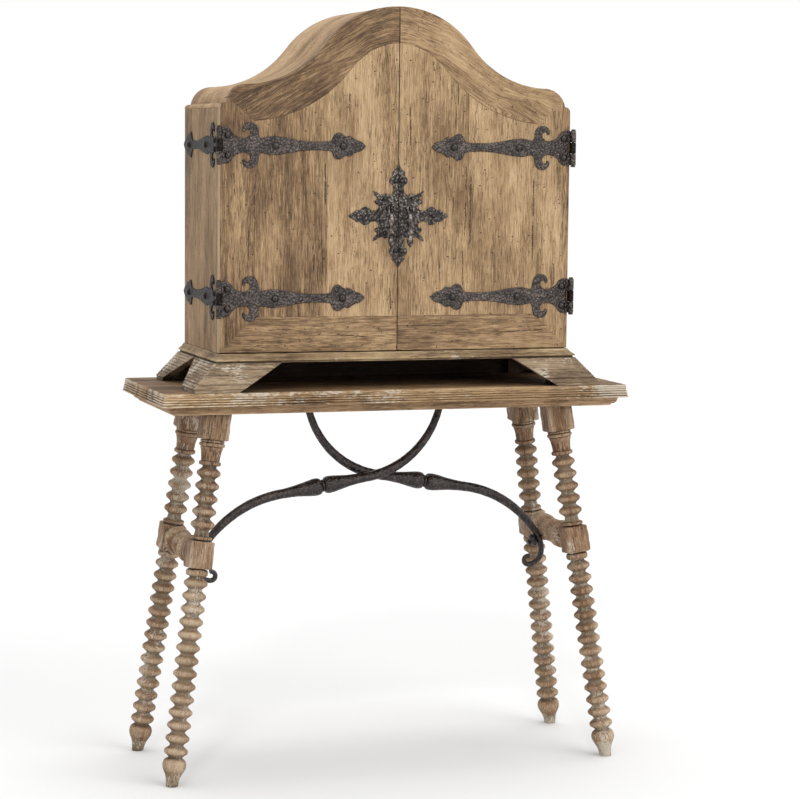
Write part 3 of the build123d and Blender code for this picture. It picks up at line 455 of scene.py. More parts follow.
def turned(shells, base, axis, across, profile, grain, neck, rim, segments=30, rough=0.25,
           lowest=-math.inf, lift=0.0):
    """Adds a turned surface: profile holds radius and place along the axis; raised runs from neck to rim."""
    axis, across = Vector(axis).normalized(), Vector(across).normalized()
    third = axis.cross(across)
    rings, raised = [], []
    for radius, place in profile:
        ring = []
        for k in range(segments):
            turn = 2 * math.pi * k / segments
            way = across * math.cos(turn) + third * math.sin(turn)
            point = base + axis * place + way * radius
            dent = noise.noise(point / 11) + 0.5 * noise.noise(point / 4)
            point -= way * min(radius * 0.4, rough * (1 + dent))
            point.z = max(point.z, lowest)
            ring.append(point)
        rings.append(ring)
        raised += [lift + min(max((radius - neck) / max(rim - neck, 0.01), 0), 1)] * segments
    shells.add(*loft(rings), grain, raised)


def smooth_line(points, steps=6):
    """Points of a smooth line through the given ones."""
    points = [Vector(p) for p in points]
    padded = [2 * points[0] - points[1], *points, 2 * points[-1] - points[-2]]
    line = [points[0]]
    for a, b, c, d in zip(padded, padded[1:], padded[2:], padded[3:]):
        for k in range(1, steps + 1):
            t = k / steps
            line.append(0.5 * (2 * b + (c - a) * t + (2 * a - 5 * b + 4 * c - d) * t * t
                               + (3 * b - a - 3 * c + d) * t**3))
    return line


# ---- legs
FOOT_IN_X, FOOT_IN_Y = 33, 37   # where the legs' axes meet the floor, in from the ends of the table
SPLAY = (0.1395, 0.0797)        # how far the axes lean in for each unit of height
STRETCHER_DROP = 362            # from the underside of the moulded board to the stretchers' axes
MID_BLOCK, TOP_BLOCK = (70, 31), (72.5, 34.5)   # length and half the width
COLLAR_WIDTH, VASE_HEIGHT = 18, 34
NECK, RIM, DISC_PITCH = 17.6, 31.0, 32.9        # radii and pitch of the discs
LEG_STRETCH = math.sqrt(1 + SPLAY[0] ** 2 + SPLAY[1] ** 2)
FOOT_X, FOOT_Y = slab_high.x - FOOT_IN_X, slab_high.y - FOOT_IN_Y
STRETCHER_Z = under_bottom - STRETCHER_DROP
STRETCHER_X = FOOT_X - SPLAY[0] * STRETCHER_Z
leg_top = under_bottom * LEG_STRETCH
mid_foot = STRETCHER_Z * LEG_STRETCH - MID_BLOCK[0] / 2
mid_top = mid_foot + MID_BLOCK[0]
top_foot = leg_top - TOP_BLOCK[0]
vase_top = top_foot - COLLAR_WIDTH
vase_foot = vase_top - VASE_HEIGHT


def disc_row(start, end):
    """Profile of a row of turned discs that narrow to rounded rims."""
    count = round((end - start) / DISC_PITCH)
    pitch = (end - start) / count
    rise = ((-0.5, 0), (-0.46, 0.03), (-0.4, 0.14), (-0.32, 0.34), (-0.24, 0.6), (-0.17, 0.83), (-0.1, 0.96),
            (-0.04, 0.998))
    shape = [*rise, *[(-s, r) for s, r in reversed(rise[1:])]]
    return [(NECK + (RIM - NECK) * r, start + (k + 0.5 + s) * pitch) for k in range(count) for s, r in shape]


def bead(foot, top, radius, neck):
    """Profile of a rounded ring."""
    width = top - foot
    shape = ((0, 0), (0.04, 0.6), (0.2, 0.9), (0.5, 1), (0.8, 0.9), (0.96, 0.6), (1, 0))
    return [(neck + (radius - neck) * r, foot + width * s) for s, r in shape]


def square_ring(half, corner, per_side=5):
    """Points of a square with rounded corners, round its middle."""
    reach = half - corner

    def rounded(turn, angle):
        return (math.cos(turn) * reach - math.sin(turn) * reach + corner * math.cos(angle),
                math.sin(turn) * reach + math.cos(turn) * reach + corner * math.sin(angle))

    ring = []
    for quarter in range(4):
        turn = math.pi / 2 * quarter
        ring += [rounded(turn, turn + math.pi / 4 * k) for k in range(3)]
        start, end = ring[-1], rounded(turn + math.pi / 2, turn + math.pi / 2)
        for t in [k / per_side for k in range(1, per_side)]:
            ring.append((start[0] + (end[0] - start[0]) * t, start[1] + (end[1] - start[1]) * t))
    return ring


def block(shells, base, axes, foot, top, half, grain, highest=math.inf):
    """Adds a square block with worn edges along the first axis."""
    up, across, third = axes
    places = [(foot, half - 3.2), (foot + 1, half - 1.6), (foot + 3.2, half)]
    count = max(2, round((top - foot) / 9))
    places += [(foot + 3.2 + (top - foot - 6.4) * k / count, half) for k in range(1, count)]
    places += [(top - 3.2, half), (top - 1, half - 1.6), (top, half - 3.2)]
    rings, raised = [], []
    for place, size in places:
        ring = []
        for u, v in square_ring(size, 2.2):
            edge = min(abs(u), abs(v)) / size
            point = base + up * place + across * u + third * v
            worn = (0.4 + 2.2 * edge**6) * max(0.0, noise.noise(point / 9) + 0.25)
            point = base + up * place + (across * u + third * v) * (1 - worn / size)
            point.z = min(point.z, highest)
            ring.append(point)
            raised.append(0.75 if edge < 0.9 else 1.0)
        rings.append(ring)
    shells.add(*loft(rings), grain, raised)


def leg_profile():
    """Profile of a leg from the floor to its top block, with a thin core inside the middle block."""
    toe = [(2, -2.0), (14.6, -2.0), (15.8, 1.5), (16.4, 9), (18.2, 20), (21.5, 30), (26.3, 39), (29.8, 47), (31, 54),
           (30.2, 61), (27.4, 67), (22, 71.5)]
    lower = disc_row(73, mid_foot - 22)
    lower_ring = bead(mid_foot - 20, mid_foot - 2, 29, 19.5)
    upper_ring = bead(mid_top + 2, mid_top + 12, 29, 19.5)
    upper = disc_row(mid_top + 25.5, vase_foot - 17)
    vase_ring = bead(vase_foot - 14, vase_foot - 2.5, 29, 20)
    vase = [(24.2, vase_foot - 2), (24.6, vase_foot + 4), (25.4, vase_foot + 14), (27, vase_foot + 24),
            (29, vase_top - 4), (29.4, vase_top - 0.5)]
    collar = bead(vase_top + 0.5, vase_top + 10.5, 33.6, 27) + bead(vase_top + 11, vase_top + 17.5, 31.5, 28)
    return [*toe, *lower, (19, mid_foot - 21), *lower_ring, (19, mid_foot), (19, mid_top), *upper_ring,
            (19.5, mid_top + 15), *upper, (18.5, vase_foot - 15.5), *vase_ring, *vase, *collar, (26, top_foot + 3)]


for side_name, side in SIDES.items():
    for end_name, end in ENDS.items():
        name = f"turned_leg_{end_name}_{side_name}"
        base = Vector((side * FOOT_X, end * FOOT_Y, 0))
        up = Vector((-side * SPLAY[0], -end * SPLAY[1], 1)).normalized()
        across = Vector((1, 0, side * SPLAY[0])).normalized()
        third = up.cross(across)
        grain = lined_up(up, name)
        leg = Shells()
        turned(leg, base, up, across, leg_profile(), grain, NECK, RIM, lowest=0)
        block(leg, base, (up, across, third), mid_foot, mid_top, MID_BLOCK[1], grain)
        block(leg, base, (up, across, third), top_foot, leg_top + 12, TOP_BLOCK[1], grain, highest=under_bottom)
        piece(name, leg, "leg_wood", STAND, [f"leg_{end_name}_{side_name}"])

# ---- wrought irons
IRON_SPACING = 26.0             # between the two irons where they cross
IRON_FOOT_X, IRON_LEAN = 180.5, -77.2   # their feet, and the angle at which they come down
LEAD_IN = (8.0, 241.0)          # straight length, and radius of the bend to the run
RUN_SLOPE = 9.2                 # fall of the run in degrees
SWEEP = (304.2, 49.0)           # radius and turn in degrees of the sweep after the run
TURN_RADIUS = 81.0
SCROLL = ((38.0, -90), (12.0, -200))
TO_STRETCHER = 28.4             # from the outside of the turn to the stretcher's axis
TURN_HEIGHT = 530.0             # of the turn's centre, which the bolts point at
KNOP_PLACE = 130.0              # along the run
BOLT_SEAT = 9.0                 # from the iron's axis to the bolt's knob
IRON_STEP = 4.0


def travel(start, angle, moves, spacing=6.0):
    """Points of a line made of straight runs (length, 0) and arcs (radius, turn in degrees)."""
    points = [Vector(start)]
    heading = math.radians(angle)
    for size, bend in moves:
        length = size * abs(math.radians(bend)) if bend else size
        count = max(2, math.ceil(length / spacing))
        for _ in range(count):
            turn = math.radians(bend) / count
            chord = 2 * size * math.sin(abs(turn) / 2) if bend else length / count
            middle = heading + turn / 2
            points.append(points[-1] + Vector((math.cos(middle), math.sin(middle))) * chord)
            heading += turn
    return points


iron_start = (-IRON_FOOT_X, under_bottom - 3)
lead_in = travel(iron_start, IRON_LEAN, [(LEAD_IN[0], 0), (LEAD_IN[1], -RUN_SLOPE - IRON_LEAN)])
turn_left = -90 + RUN_SLOPE + SWEEP[1]
tail = [(SWEEP[0], -SWEEP[1]), (TURN_RADIUS, turn_left), *SCROLL]
outer = max(p.x for p in travel((0, 0), -RUN_SLOPE, tail))
run_length = (STRETCHER_X - TO_STRETCHER - lead_in[-1].x - outer) / math.cos(math.radians(RUN_SLOPE))
iron_line = lead_in + travel(lead_in[-1], -RUN_SLOPE, [(run_length, 0), *tail], spacing=IRON_STEP)[1:]
KNOP = [(0, 16.6), (2.0, 16.6), (2.3, 14.2), (3.6, 14.2), (4.0, 17.4), (5.5, 19.8), (8, 21.6), (12, 22.9), (18, 23.4),
        (27, 23.0), (38, 21.4), (52, 18.9), (68, 16.5), (86, 14.6), (105, 13.3)]
THINNING = [(0, 10.0), (70, 10.6), (150, 11.8), (215, 12.9), (270, 13.3), (520, 13.3), (620, 12.8), (700, 12.0),
            (760, 10.8), (800, 9.3), (840, 8.6), (880, 7.8), (915, 7.0), (945, 6.6)]
FLANGE = [(8, -0.2), (21, -0.2), (23.4, -0.8), (23.8, -3), (23.2, -5), (20.5, -6), (15, -7.2), (12.4, -9.5),
          (10.4, -13)]
SCREW = [(1, -5.6), (2.6, -5.6), (2.6, -6.4), (2.1, -7.2), (1.2, -7.7), (0.3, -7.8)]
lengths = [0.0]
for a, b in zip(iron_line, iron_line[1:]):
    lengths.append(lengths[-1] + (b - a).length)
total = lengths[-1]
knop_at = lengths[len(lead_in) - 1] + KNOP_PLACE


def iron_point(place):
    """X and Z of the left iron's axis at a distance along it."""
    return [float(np.interp(place, lengths, values)) for values in zip(*iron_line)]


def bar_radius(place):
    """Radius of the iron at a distance along it: the bar, drawn thinner to its ends, and the double knop."""
    off = abs(place - knop_at)
    bar, knop = [float(np.interp(at, *zip(*row))) for at, row in ((place, THINNING), (off, KNOP))]
    if off >= KNOP[-1][0]:
        return bar
    return max(bar, knop) if off > 5 else knop


for side_name, side in SIDES.items():
    places = {round(x, 2) for x in np.arange(0, total - 1, IRON_STEP) if abs(x - knop_at) > 6}
    places |= {round(knop_at + s * off, 2) for off, _ in KNOP for s in (-1, 1)} | {total - 1.2, total}
    bar, rings = Shells(), []
    for place in sorted(places):
        (x, z), (x1, z1), (x2, z2) = iron_point(place), iron_point(place - 2), iron_point(place + 2)
        way = Vector((side * (x2 - x1), 0, z2 - z1)).normalized()
        cross = way.cross(Y)
        radius = bar_radius(place) * (0.55 if place == total else 1)
        ring = []
        for k in range(24):
            turn = 2 * math.pi * k / 24
            out = cross * math.cos(turn) + Y * math.sin(turn)
            point = Vector((side * x, side * IRON_SPACING / 2, z)) + out * radius
            ring.append(point - out * 0.4 * (1 + noise.noise(point / 6) + 0.8 * noise.noise(point / 15)))
        rings.append(ring)
    bar.add(*loft(rings), lined_up(X, "iron" + side_name))
    spot = Vector((-side * IRON_FOOT_X, side * IRON_SPACING / 2, under_bottom))
    turned(bar, spot, UP, X, FLANGE, lined_up(X, "flange" + side_name), 0, 24, segments=28)
    for k in range(3):
        angle = math.radians(120 * k + 30)
        head = spot + Vector((math.cos(angle), math.sin(angle), 0)) * 18.2
        turned(bar, head, UP, X, SCREW, lined_up(X, "screw"), 0, 24, segments=12, rough=0.02)
    piece(f"forged_iron_{side_name}", bar, "brace_iron", STAND, [f"iron_{side_name}"], sharp=50)

turn_centre = Vector((STRETCHER_X - TO_STRETCHER - TURN_RADIUS, TURN_HEIGHT))
bolt_way = Vector((STRETCHER_X, STRETCHER_Z)) - turn_centre
seat = bolt_way.length - TURN_RADIUS + BOLT_SEAT
bolt_way.normalize()
knob = [(3.4, 20), *[(radius, seat + place) for radius, place in (
    (3.4, -2), (6, -0.3), (12.5, 1.5), (16.2, 5.5), (16.9, 10), (15.5, 14.5), (10.5, 18.4), (6.4, 20.4), (7.4, 22.4),
    (8, 24.4), (6.4, 27), (2.6, 27.9))]]
knobs = Shells()
for side in SIDES.values():
    base = Vector((side * STRETCHER_X, side * IRON_SPACING / 2, STRETCHER_Z))
    out = Vector((-side * bolt_way.x, 0, -bolt_way.y))
    turned(knobs, base, out, Y, knob, lined_up(X, f"knob{side}"), 0, 14, segments=24, rough=0.3)
piece("brace_knobs", knobs, "brace_iron", STAND, ["brace_bolts"])

# ---- stretchers
WAIST = 32.3
block_face = FOOT_Y - SPLAY[1] * STRETCHER_Z - MID_BLOCK[1]


def stretcher_profile():
    half = [(WAIST, 0), (WAIST, 14), (WAIST - 1.5, 17.5), (26, 21), (21.5, 25), (21, 32), (23, 42), (26, 48),
            (31, 50.5), (35, 54), (37.2, 60), (37.5, 68), (37.2, 76), (35, 82), (31, 85.5), (26, 88), (22, 93),
            (21.5, 97), *bead(98, 111, 33, 23), (22.5, 113), (24.5, 118), (24.5, block_face + 3)]
    return [*[(r, -y) for r, y in reversed(half[1:])], *half]


for side_name, side in SIDES.items():
    name = f"turned_stretcher_{side_name}"
    stretcher = Shells()
    turned(stretcher, Vector((side * STRETCHER_X, 0, STRETCHER_Z)), Y, X, stretcher_profile(),
           lined_up(Y, name), 18, 36, segments=36, rough=0.35)
    piece(name, stretcher, "leg_wood", STAND, [f"stretcher_{side_name}"])

# ---- moulded boards
CORNER_REACH, EDGE_REACH = 22, 200      # how far from a corner its rounding and its paler wear run


def moulded(name, profile, slot, node, closed_back=False, spacing=13.0, wear=1.2):
    """A board with moulded edges: profile holds height, half length, front and back reach, and wear."""
    shells, rings, raised = Shells(), [], []
    long, short = [round(reach / spacing) for reach in (2 * profile[0][1], profile[0][2] + profile[0][3])]
    for z, x, front, back, worn in profile:
        corners = [Vector((-x, -front, z)), Vector((x, -front, z)), Vector((x, back, z)), Vector((-x, back, z))]
        ring = []
        for a, b, count in zip(corners, corners[1:] + corners[:1], (long, short, long, short)):
            way = (b - a).normalized()
            inward = Vector((-way.y, way.x, 0))
            for k in range(count):
                point = a + (b - a) * (k / count)
                ends = min(k, count - k) * spacing
                dent = max(0.0, noise.noise(Vector((point.x, point.y, z * 2.5)) / 15) + 0.12)
                dent += 0.6 * max(0.0, noise.noise(Vector((point.x, point.y, z * 3)) / 42) + 0.1)
                corner_wear = 2.2 * max(0, 1 - ends / CORNER_REACH) ** 2
                if k == 0:
                    back_way = (corners[(corners.index(a) - 1) % 4] - a).normalized()
                    point += (way + back_way) * corner_wear * worn * 0.5
                else:
                    point += inward * (dent * wear * worn + corner_wear * worn * 0.35)
                if closed_back and abs(point.y - back) < wear * 3 and inward.y < 0:
                    point.y = back
                ring.append(point)
                raised.append(worn * (0.5 + 0.5 * max(0, 1 - ends / EDGE_REACH)))
        rings.append(ring)
    shells.add(*loft(rings), lined_up(X, name), raised)
    piece(name, shells, slot, STAND, [node], sharp=30)


def even(points, half_x, half_y):
    """Profile points (height, inset, wear) turned into those of a board moulded all round."""
    return [(z, half_x - inset, half_y - inset, half_y - inset, worn) for z, inset, worn in points]


top_z = slab_high.z
slab = [(top_z - depth, inset, worn) for depth, inset, worn in (
    (0, 14, 0), (0, 9.4, 0.2), (0.5, 7, 0.6), (1.8, 5.6, 1), (4, 5, 1), (8, 5, 0.9), (10.6, 5.4, 0.8))]
for reed in range(3):
    high, crest = top_z - 11 - 6 * reed, 3.9 - 1.25 * reed
    slab += [(high - depth, crest + out, worn) for depth, out, worn in (
        (0, 2.6, 0.1), (1, 0.7, 0.8), (2.8, 0, 1), (4.6, 0.6, 0.9), (5.7, 2.4, 0.2))]
slab += [(top_z - 29.2, 2.6, 0.1), (top_z - 30.2, 0.3, 0.7), (top_z - 31.5, 0, 1), (slab_low.z + 1, 0, 1),
         (slab_low.z, 0.9, 0.5), (slab_low.z, 22, 0)]
moulded("moulded_table_top", even(slab, slab_high.x, slab_high.y), "table_wood", "table_top")

high, low = under_high.z, under_low.z
under = [(high, 3, 0), (high, 0.4, 0.3), (high - 2.6, 0, 0.8), (high - 3.2, 0.9, 0.3), (high - 4, 1.6, 0.2)]
for k in range(1, 8):
    turn = math.radians(90 * k / 8)
    under.append((high - 4 - 14.5 * math.sin(turn), 2 + 11.6 * (1 - math.cos(turn)), 0.15))
under += [(low + 4.4, 13.8, 0.3), (low + 3.8, 14.6, 0.7), (low + 1.2, 14.8, 0.8), (low, 16, 0.4), (low, 30, 0)]
moulded("moulded_under_board", even(under, under_high.x, under_high.y), "moulding_wood", "under_board")


def plinth_points():
    """Ogee edge of the plinth, from the top down; its back is plain."""
    upper_x, upper_y = half_width + 4, -door_front + 4
    lower_x, lower_y = plinth_high.x, -plinth_low.y
    foot, start = plinth_low.z + 5, plinth_high.z - 3
    rows = [(plinth_high.z, -8, 0), (plinth_high.z, -1.2, 0.3), (plinth_high.z - 0.8, -0.2, 0.7),
            (start + 0.4, 0, 0.8), (start, 0.4, 0.2)]
    made = [(z, upper_x + out, upper_y + out, cabinet_back, worn) for z, out, worn in rows]
    for down, out in ((0.1, 0.12), (0.25, 0.2), (0.42, 0.42), (0.55, 0.62), (0.68, 0.86), (0.8, 0.985), (0.9, 1.0),
                      (0.97, 0.97), (1, 0.9)):
        x, y = upper_x + (lower_x - upper_x) * out, upper_y + (lower_y - upper_y) * out
        made.append((start - (start - foot) * down, x, y, cabinet_back, 0.8 if out > 0.8 else 0.3))
    for z, inset in ((foot, 5.6), (foot - 0.4, 6), (plinth_low.z, 6), (plinth_low.z, 24)):
        made.append((z, lower_x - inset, lower_y - inset, cabinet_back, 0))
    return made


moulded("moulded_plinth", plinth_points(), "foot_wood", "plinth", closed_back=True, wear=0.9)

# ---- bracket feet
FOOT_BOARD = 24.0               # thickness of a foot's boards
FOOT_STEP = 9.0                 # height of the plain band at its bottom
REED_PITCH, REED_DEPTH = 6.6, 1.7
LINE_WIDTH = 0.024              # of the lines across the front, as a share of the foot's height
# How far the faces stand out beyond the cabinet's, at their top and at the bottom.
SIDE_FLARE, FRONT_FLARE = (19.5, 76), (22.4, 44)
FLARE_START = 3                 # how far the flare's lower end stands out beyond the plain band
# Slanting inner edges: the front's lies in from the cabinet's side by the first at the bottom and by both at the top,
# and the side's runs from so far behind the face to so far beyond the side's middle.
INNER_CUT, SIDE_CUT = (40, 117), (66, 5)
FOOT_LINES = ((0.26, 3.0), (0.56, 1.4), (0.78, 1.4))    # height as such a share, and depth
foot_bottom, feet_top = [corner.z for corner in node_box("bracket_foot_front_right")]
band_top = foot_bottom + FOOT_STEP
side_middle = (cabinet_back + door_front) / 2


def foot_outs(z, top_out, bottom_out):
    """How far a foot's flaring face lies out at a height, with the plain band at its bottom."""
    if z <= band_top:
        return bottom_out
    rise = top_out - bottom_out - FLARE_START
    return bottom_out + FLARE_START + rise * (z - band_top) / (feet_top - band_top)


def foot_heights():
    """Heights of a foot's rows, close enough together for its reeds."""
    rows = [foot_bottom, foot_bottom + 1, foot_bottom + 5, band_top - 1, band_top - 0.1, band_top + 0.1,
            band_top + 1.2]
    count = round((feet_top - rows[-1]) / 1.5)
    return rows + [rows[-1] + (feet_top - rows[-1]) * k / count for k in range(1, count + 1)]


def reed_depth(z):
    """Depth of the reeds on the side faces at a height."""
    place = ((z - foot_bottom - FOOT_STEP) / REED_PITCH) % 1
    return REED_DEPTH * abs(2 * place - 1) ** 3


def line_depth(z):
    """Depth of the lines cut across the front faces at a height."""
    share = (z - foot_bottom) / (feet_top - foot_bottom)
    return sum(deep * math.exp(-(((share - place) / LINE_WIDTH) ** 2)) for place, deep in FOOT_LINES)


for side_name, side in SIDES.items():
    for end_name, end in ENDS.items():
        name = f"reeded_foot_{end_name}_{side_name}"
        foot, rings, raised = Shells(), [], []
        face = -door_front if end < 0 else cabinet_back
        for z in foot_heights():
            share = (z - foot_bottom) / (feet_top - foot_bottom)
            x_out = half_width + foot_outs(z, *SIDE_FLARE)
            y_out = face + foot_outs(z, *FRONT_FLARE) if end < 0 else cabinet_back
            cut_x = half_width - INNER_CUT[0] - INNER_CUT[1] * share
            side_bottom, side_cut_top = face - SIDE_CUT[0], end * side_middle + SIDE_CUT[1]
            cut_y = side_bottom + (side_cut_top - side_bottom) * share
            inner_x, inner_y = x_out - FOOT_BOARD, y_out - FOOT_BOARD
            carved = z > band_top
            x_face = x_out - (reed_depth(z) if carved else 0)
            y_face = y_out - (line_depth(z) if carved and end < 0 else 0)
            edges = [((cut_x, y_face), (x_face, y_face), 26), ((x_face, y_face), (x_face, cut_y), 22),
                     ((x_face, cut_y), (inner_x, cut_y), 3), ((inner_x, cut_y), (inner_x, inner_y), 5),
                     ((inner_x, inner_y), (cut_x, inner_y), 5), ((cut_x, inner_y), (cut_x, y_face), 3)]
            ring = []
            for index, (a, b, count) in enumerate(edges):
                for k in range(count):
                    t = k / count
                    x, y = a[0] + (b[0] - a[0]) * t, a[1] + (b[1] - a[1]) * t
                    spot = Vector((side * x, end * y, z))
                    dent = max(0.0, noise.noise(spot / 8) + 0.1) + 0.7 * max(0.0, noise.noise(spot / 22))
                    corner = index == 1 and k == 0
                    if index < 2:
                        x -= dent * (1.1 if index == 1 else 0) + (1.5 + 1.5 * dent if corner else 0)
                        y -= (dent * 0.8 if index == 0 and end < 0 else 0) + (1.5 + dent if corner and end < 0 else 0)
                    ring.append(Vector((side * x, end * y, z)))
                    raised.append(0.9 if corner else (1 - reed_depth(z) / REED_DEPTH * 0.8 if index == 1 else 0.6))
            rings.append(ring)
        along_side = lined_up(Y, name + "side")
        along_front = lined_up(X, name)
        corner_x = half_width + 40
        grain = lambda p: along_side(p) if abs(p.x) - corner_x > (abs(p.y) - face) * 1.6 - 30 else along_front(p)
        foot.add(*loft(rings), grain, raised)
        piece(name, foot, "foot_wood", STAND, [f"bracket_foot_{end_name}_{side_name}"], sharp=30)

# ---- boards with eased edges
TOUCHING = 0.0004               # metres within which an edge counts as lying at a neighbour
EASED_ANGLE = math.radians(32)  # edges that turn by more than this are eased


def surface_of(name):
    """Search tree of a CAD node's surface, in metres."""
    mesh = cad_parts[name].data
    return BVHTree.FromPolygons([v.co.copy() for v in mesh.vertices], [tuple(p.vertices) for p in mesh.polygons])


def eased(node, slot, body, grain, neighbours=(), edge=2.0, seam=1.2, name=None, shade=0.5):
    """A piece in a CAD node's place with its edges eased: outer edges by edge, those at a neighbour by seam."""
    trees = [surface_of(n) for n in neighbours]
    made = bmesh.new()
    made.from_mesh(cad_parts[node].data)
    bmesh.ops.remove_doubles(made, verts=made.verts, dist=2e-6)
    bmesh.ops.dissolve_limit(made, angle_limit=math.radians(0.6), verts=made.verts, edges=made.edges)
    sharp = [e for e in made.edges if e.is_manifold and e.calc_face_angle(0) > EASED_ANGLE]

    def touches(e):
        middle = (e.verts[0].co + e.verts[1].co) / 2
        return any(tree.find_nearest(middle, TOUCHING)[0] is not None for tree in trees)

    seams = [e for e in sharp if touches(e)]
    outer = [e for e in sharp if e not in set(seams)]
    for group, size in ((outer, edge), (seams, seam)):
        group = [e for e in group if e.is_valid]
        if group:
            bmesh.ops.bevel(made, geom=group, offset=size * MM, segments=3 if size > 1 else 1, profile=0.6,
                            affect="EDGES", clamp_overlap=True)
    bmesh.ops.recalc_face_normals(made, faces=made.faces)
    name = name or "eased_" + node
    mesh = bpy.data.meshes.new(name)
    made.to_mesh(mesh)
    made.free()
    put_values(mesh, [grain(v.co / MM) for v in mesh.vertices], [shade] * len(mesh.vertices))
    mesh.shade_smooth()
    mesh.set_sharp_from_angle(angle=math.radians(50))
    weighted = finished(name, mesh, slot, body, [node]).modifiers.new("flat_faces", "WEIGHTED_NORMAL")
    weighted.keep_sharp = True


# How pale each board of the doors is, from 0 to 1.
BOARD_SHADES = {
    "left": {"stile": 0.02, "top_rail": 0.08, "bottom_rail": 0.32, "inner_plank": 0.7, "outer_plank": 0.24},
    "right": {"stile": 0.6, "top_rail": 0.5, "bottom_rail": 0.08, "inner_plank": 0.66, "outer_plank": 0.66},
}
for side_name, shades in BOARD_SHADES.items():
    boards = {f"door_{board}_{side_name}": shade for board, shade in shades.items()}
    for node, shade in boards.items():
        eased(node, "door_wood", f"door_{side_name}", board_grain(node), [b for b in boards if b != node],
              shade=shade, seam=2.4 if "top_rail" in node else 1.3)
    eased(f"cabinet_side_{side_name}", "side_wood", STAND, lined_up(UP, f"side_{side_name}"),
          ["roof", "back_board", "plinth"], edge=6.0)

eased("roof", "roof_wood", STAND, arch_grain("roof"), ["cabinet_side_left", "cabinet_side_right"], edge=2.2)
for node, slot, way, log, edge in (
        ("back_board", "inner_wood", UP, "back", 0.8), ("cabinet_bottom", "inner_wood", X, "cabinet_bottom", 1.5),
        ("shelf_lower", "inner_wood", X, "shelf_lower", 1.5), ("shelf_upper", "inner_wood", X, "shelf_upper", 1.5),
        ("shelf_cleats", "inner_wood", Y, "cleats", 1.2), ("foot_blocks", "inner_wood", UP, "blocks", 1.2),
        ("back_skirt", "inner_wood", X, "skirt", 1.2), ("door_catches", "strap_iron", X, "catches", 1.2)):
    eased(node, slot, STAND, lined_up(way, log), edge=edge)

# ---- wrought plates


def filled(outline, spacing, bands=(0.45, 1.1, 2.0, 3.2)):
    """Flat triangles inside an outline, with rows of points beside its edge and a grid within."""
    edge = np.array([(p.x, p.y) for p in outline])
    after = np.roll(edge, -1, axis=0)

    def distance(points):
        run = after - edge
        t = ((points[:, None, :] - edge) * run).sum(2) / np.maximum((run**2).sum(1), 1e-9)
        near = edge + np.clip(t, 0, 1)[:, :, None] * run
        return np.sqrt(((points[:, None, :] - near) ** 2).sum(2)).min(1)

    normals = np.roll(edge, -1, axis=0) - np.roll(edge, 1, axis=0)
    normals /= np.maximum(np.linalg.norm(normals, axis=1), 1e-9)[:, None]
    normals = np.stack([-normals[:, 1], normals[:, 0]], 1)
    if (edge[:, 0] * after[:, 1] - after[:, 0] * edge[:, 1]).sum() < 0:
        normals = -normals
    inside = []
    for band in bands:
        moved = edge + normals * band
        inside.append(moved[np.abs(distance(moved) - band) < 0.12 * band + 0.05])
    low, high = edge.min(0), edge.max(0)
    rows = np.arange(low[1], high[1], spacing * 0.87)
    grid = np.array([(x + (0.5 * spacing if row % 2 else 0), y) for row, y in enumerate(rows)
                     for x in np.arange(low[0], high[0], spacing)])
    inside.append(grid[distance(grid) > bands[-1] + 0.5 * spacing])
    candidates = [Vector(p) for p in np.concatenate(inside)]
    count = len(outline)
    ring = [(k, (k + 1) % count) for k in range(count)]
    made = delaunay_2d_cdt([Vector(p) for p in outline] + candidates, ring, [], 1, 0.02)
    points, faces = made[0], [tuple(f) for f in made[2]]
    return points, faces, distance(np.array([(p.x, p.y) for p in points]))


EDGE_ROUNDING, HAMMER_MARK = 2.4, 6.5   # width of the rounded edge and size of the marks


def plate(shells, outline, place, thickness, spacing, grain, hammer=0.45):
    """Adds a hammered plate: outline in its plane, place(u, v, w) gives the point at height w over the surface."""
    points, faces, depth = filled(outline, spacing)
    base = len(points)
    top = []
    for p, d in zip(points, depth):
        rounding = math.sqrt(max(0.0, 1 - (1 - min(d / EDGE_ROUNDING, 1)) ** 2))
        spot = place(p.x, p.y, 0)
        near = noise.voronoi(spot / HAMMER_MARK)[0][0]
        marks = hammer * (1.1 - min(near, 1.1)) + 0.2 * noise.noise(spot / 18)
        top.append(place(p.x, p.y, max(0.8, thickness * (0.42 + 0.58 * rounding) - marks * min(d / 1.5, 1))))
    under = [place(p.x, p.y, 0.05) for p in points]
    edges = dict.fromkeys(pair for face in faces for pair in zip(face, face[1:] + face[:1]))
    rim = [(b, a, base + a, base + b) for a, b in edges if (b, a) not in edges]
    all_faces = [*faces, *[tuple(base + k for k in reversed(face)) for face in faces], *rim]
    raised = [min(d / 3, 1) for d in depth]
    shells.add(top + under, all_faces, grain, raised + raised)


def curves(*bends):
    """Smooth lines in one row; each starts at the end of the one before."""
    line, start = [], []
    for bend in bends:
        line += smooth_line([*start, *bend])
        start = [bend[-1]]
    return line


def closed(half, spacing):
    """Points about this far apart along the closed line that is made of a half and its mirror image."""
    kept = [half[0]]
    for p in half[1:] + [Vector((p.x, -p.y)) for p in reversed(half)]:
        if (p - kept[-1]).length >= spacing:
            kept.append(p)
    if (kept[-1] - kept[0]).length < spacing * 0.5:
        kept.pop()
    return kept


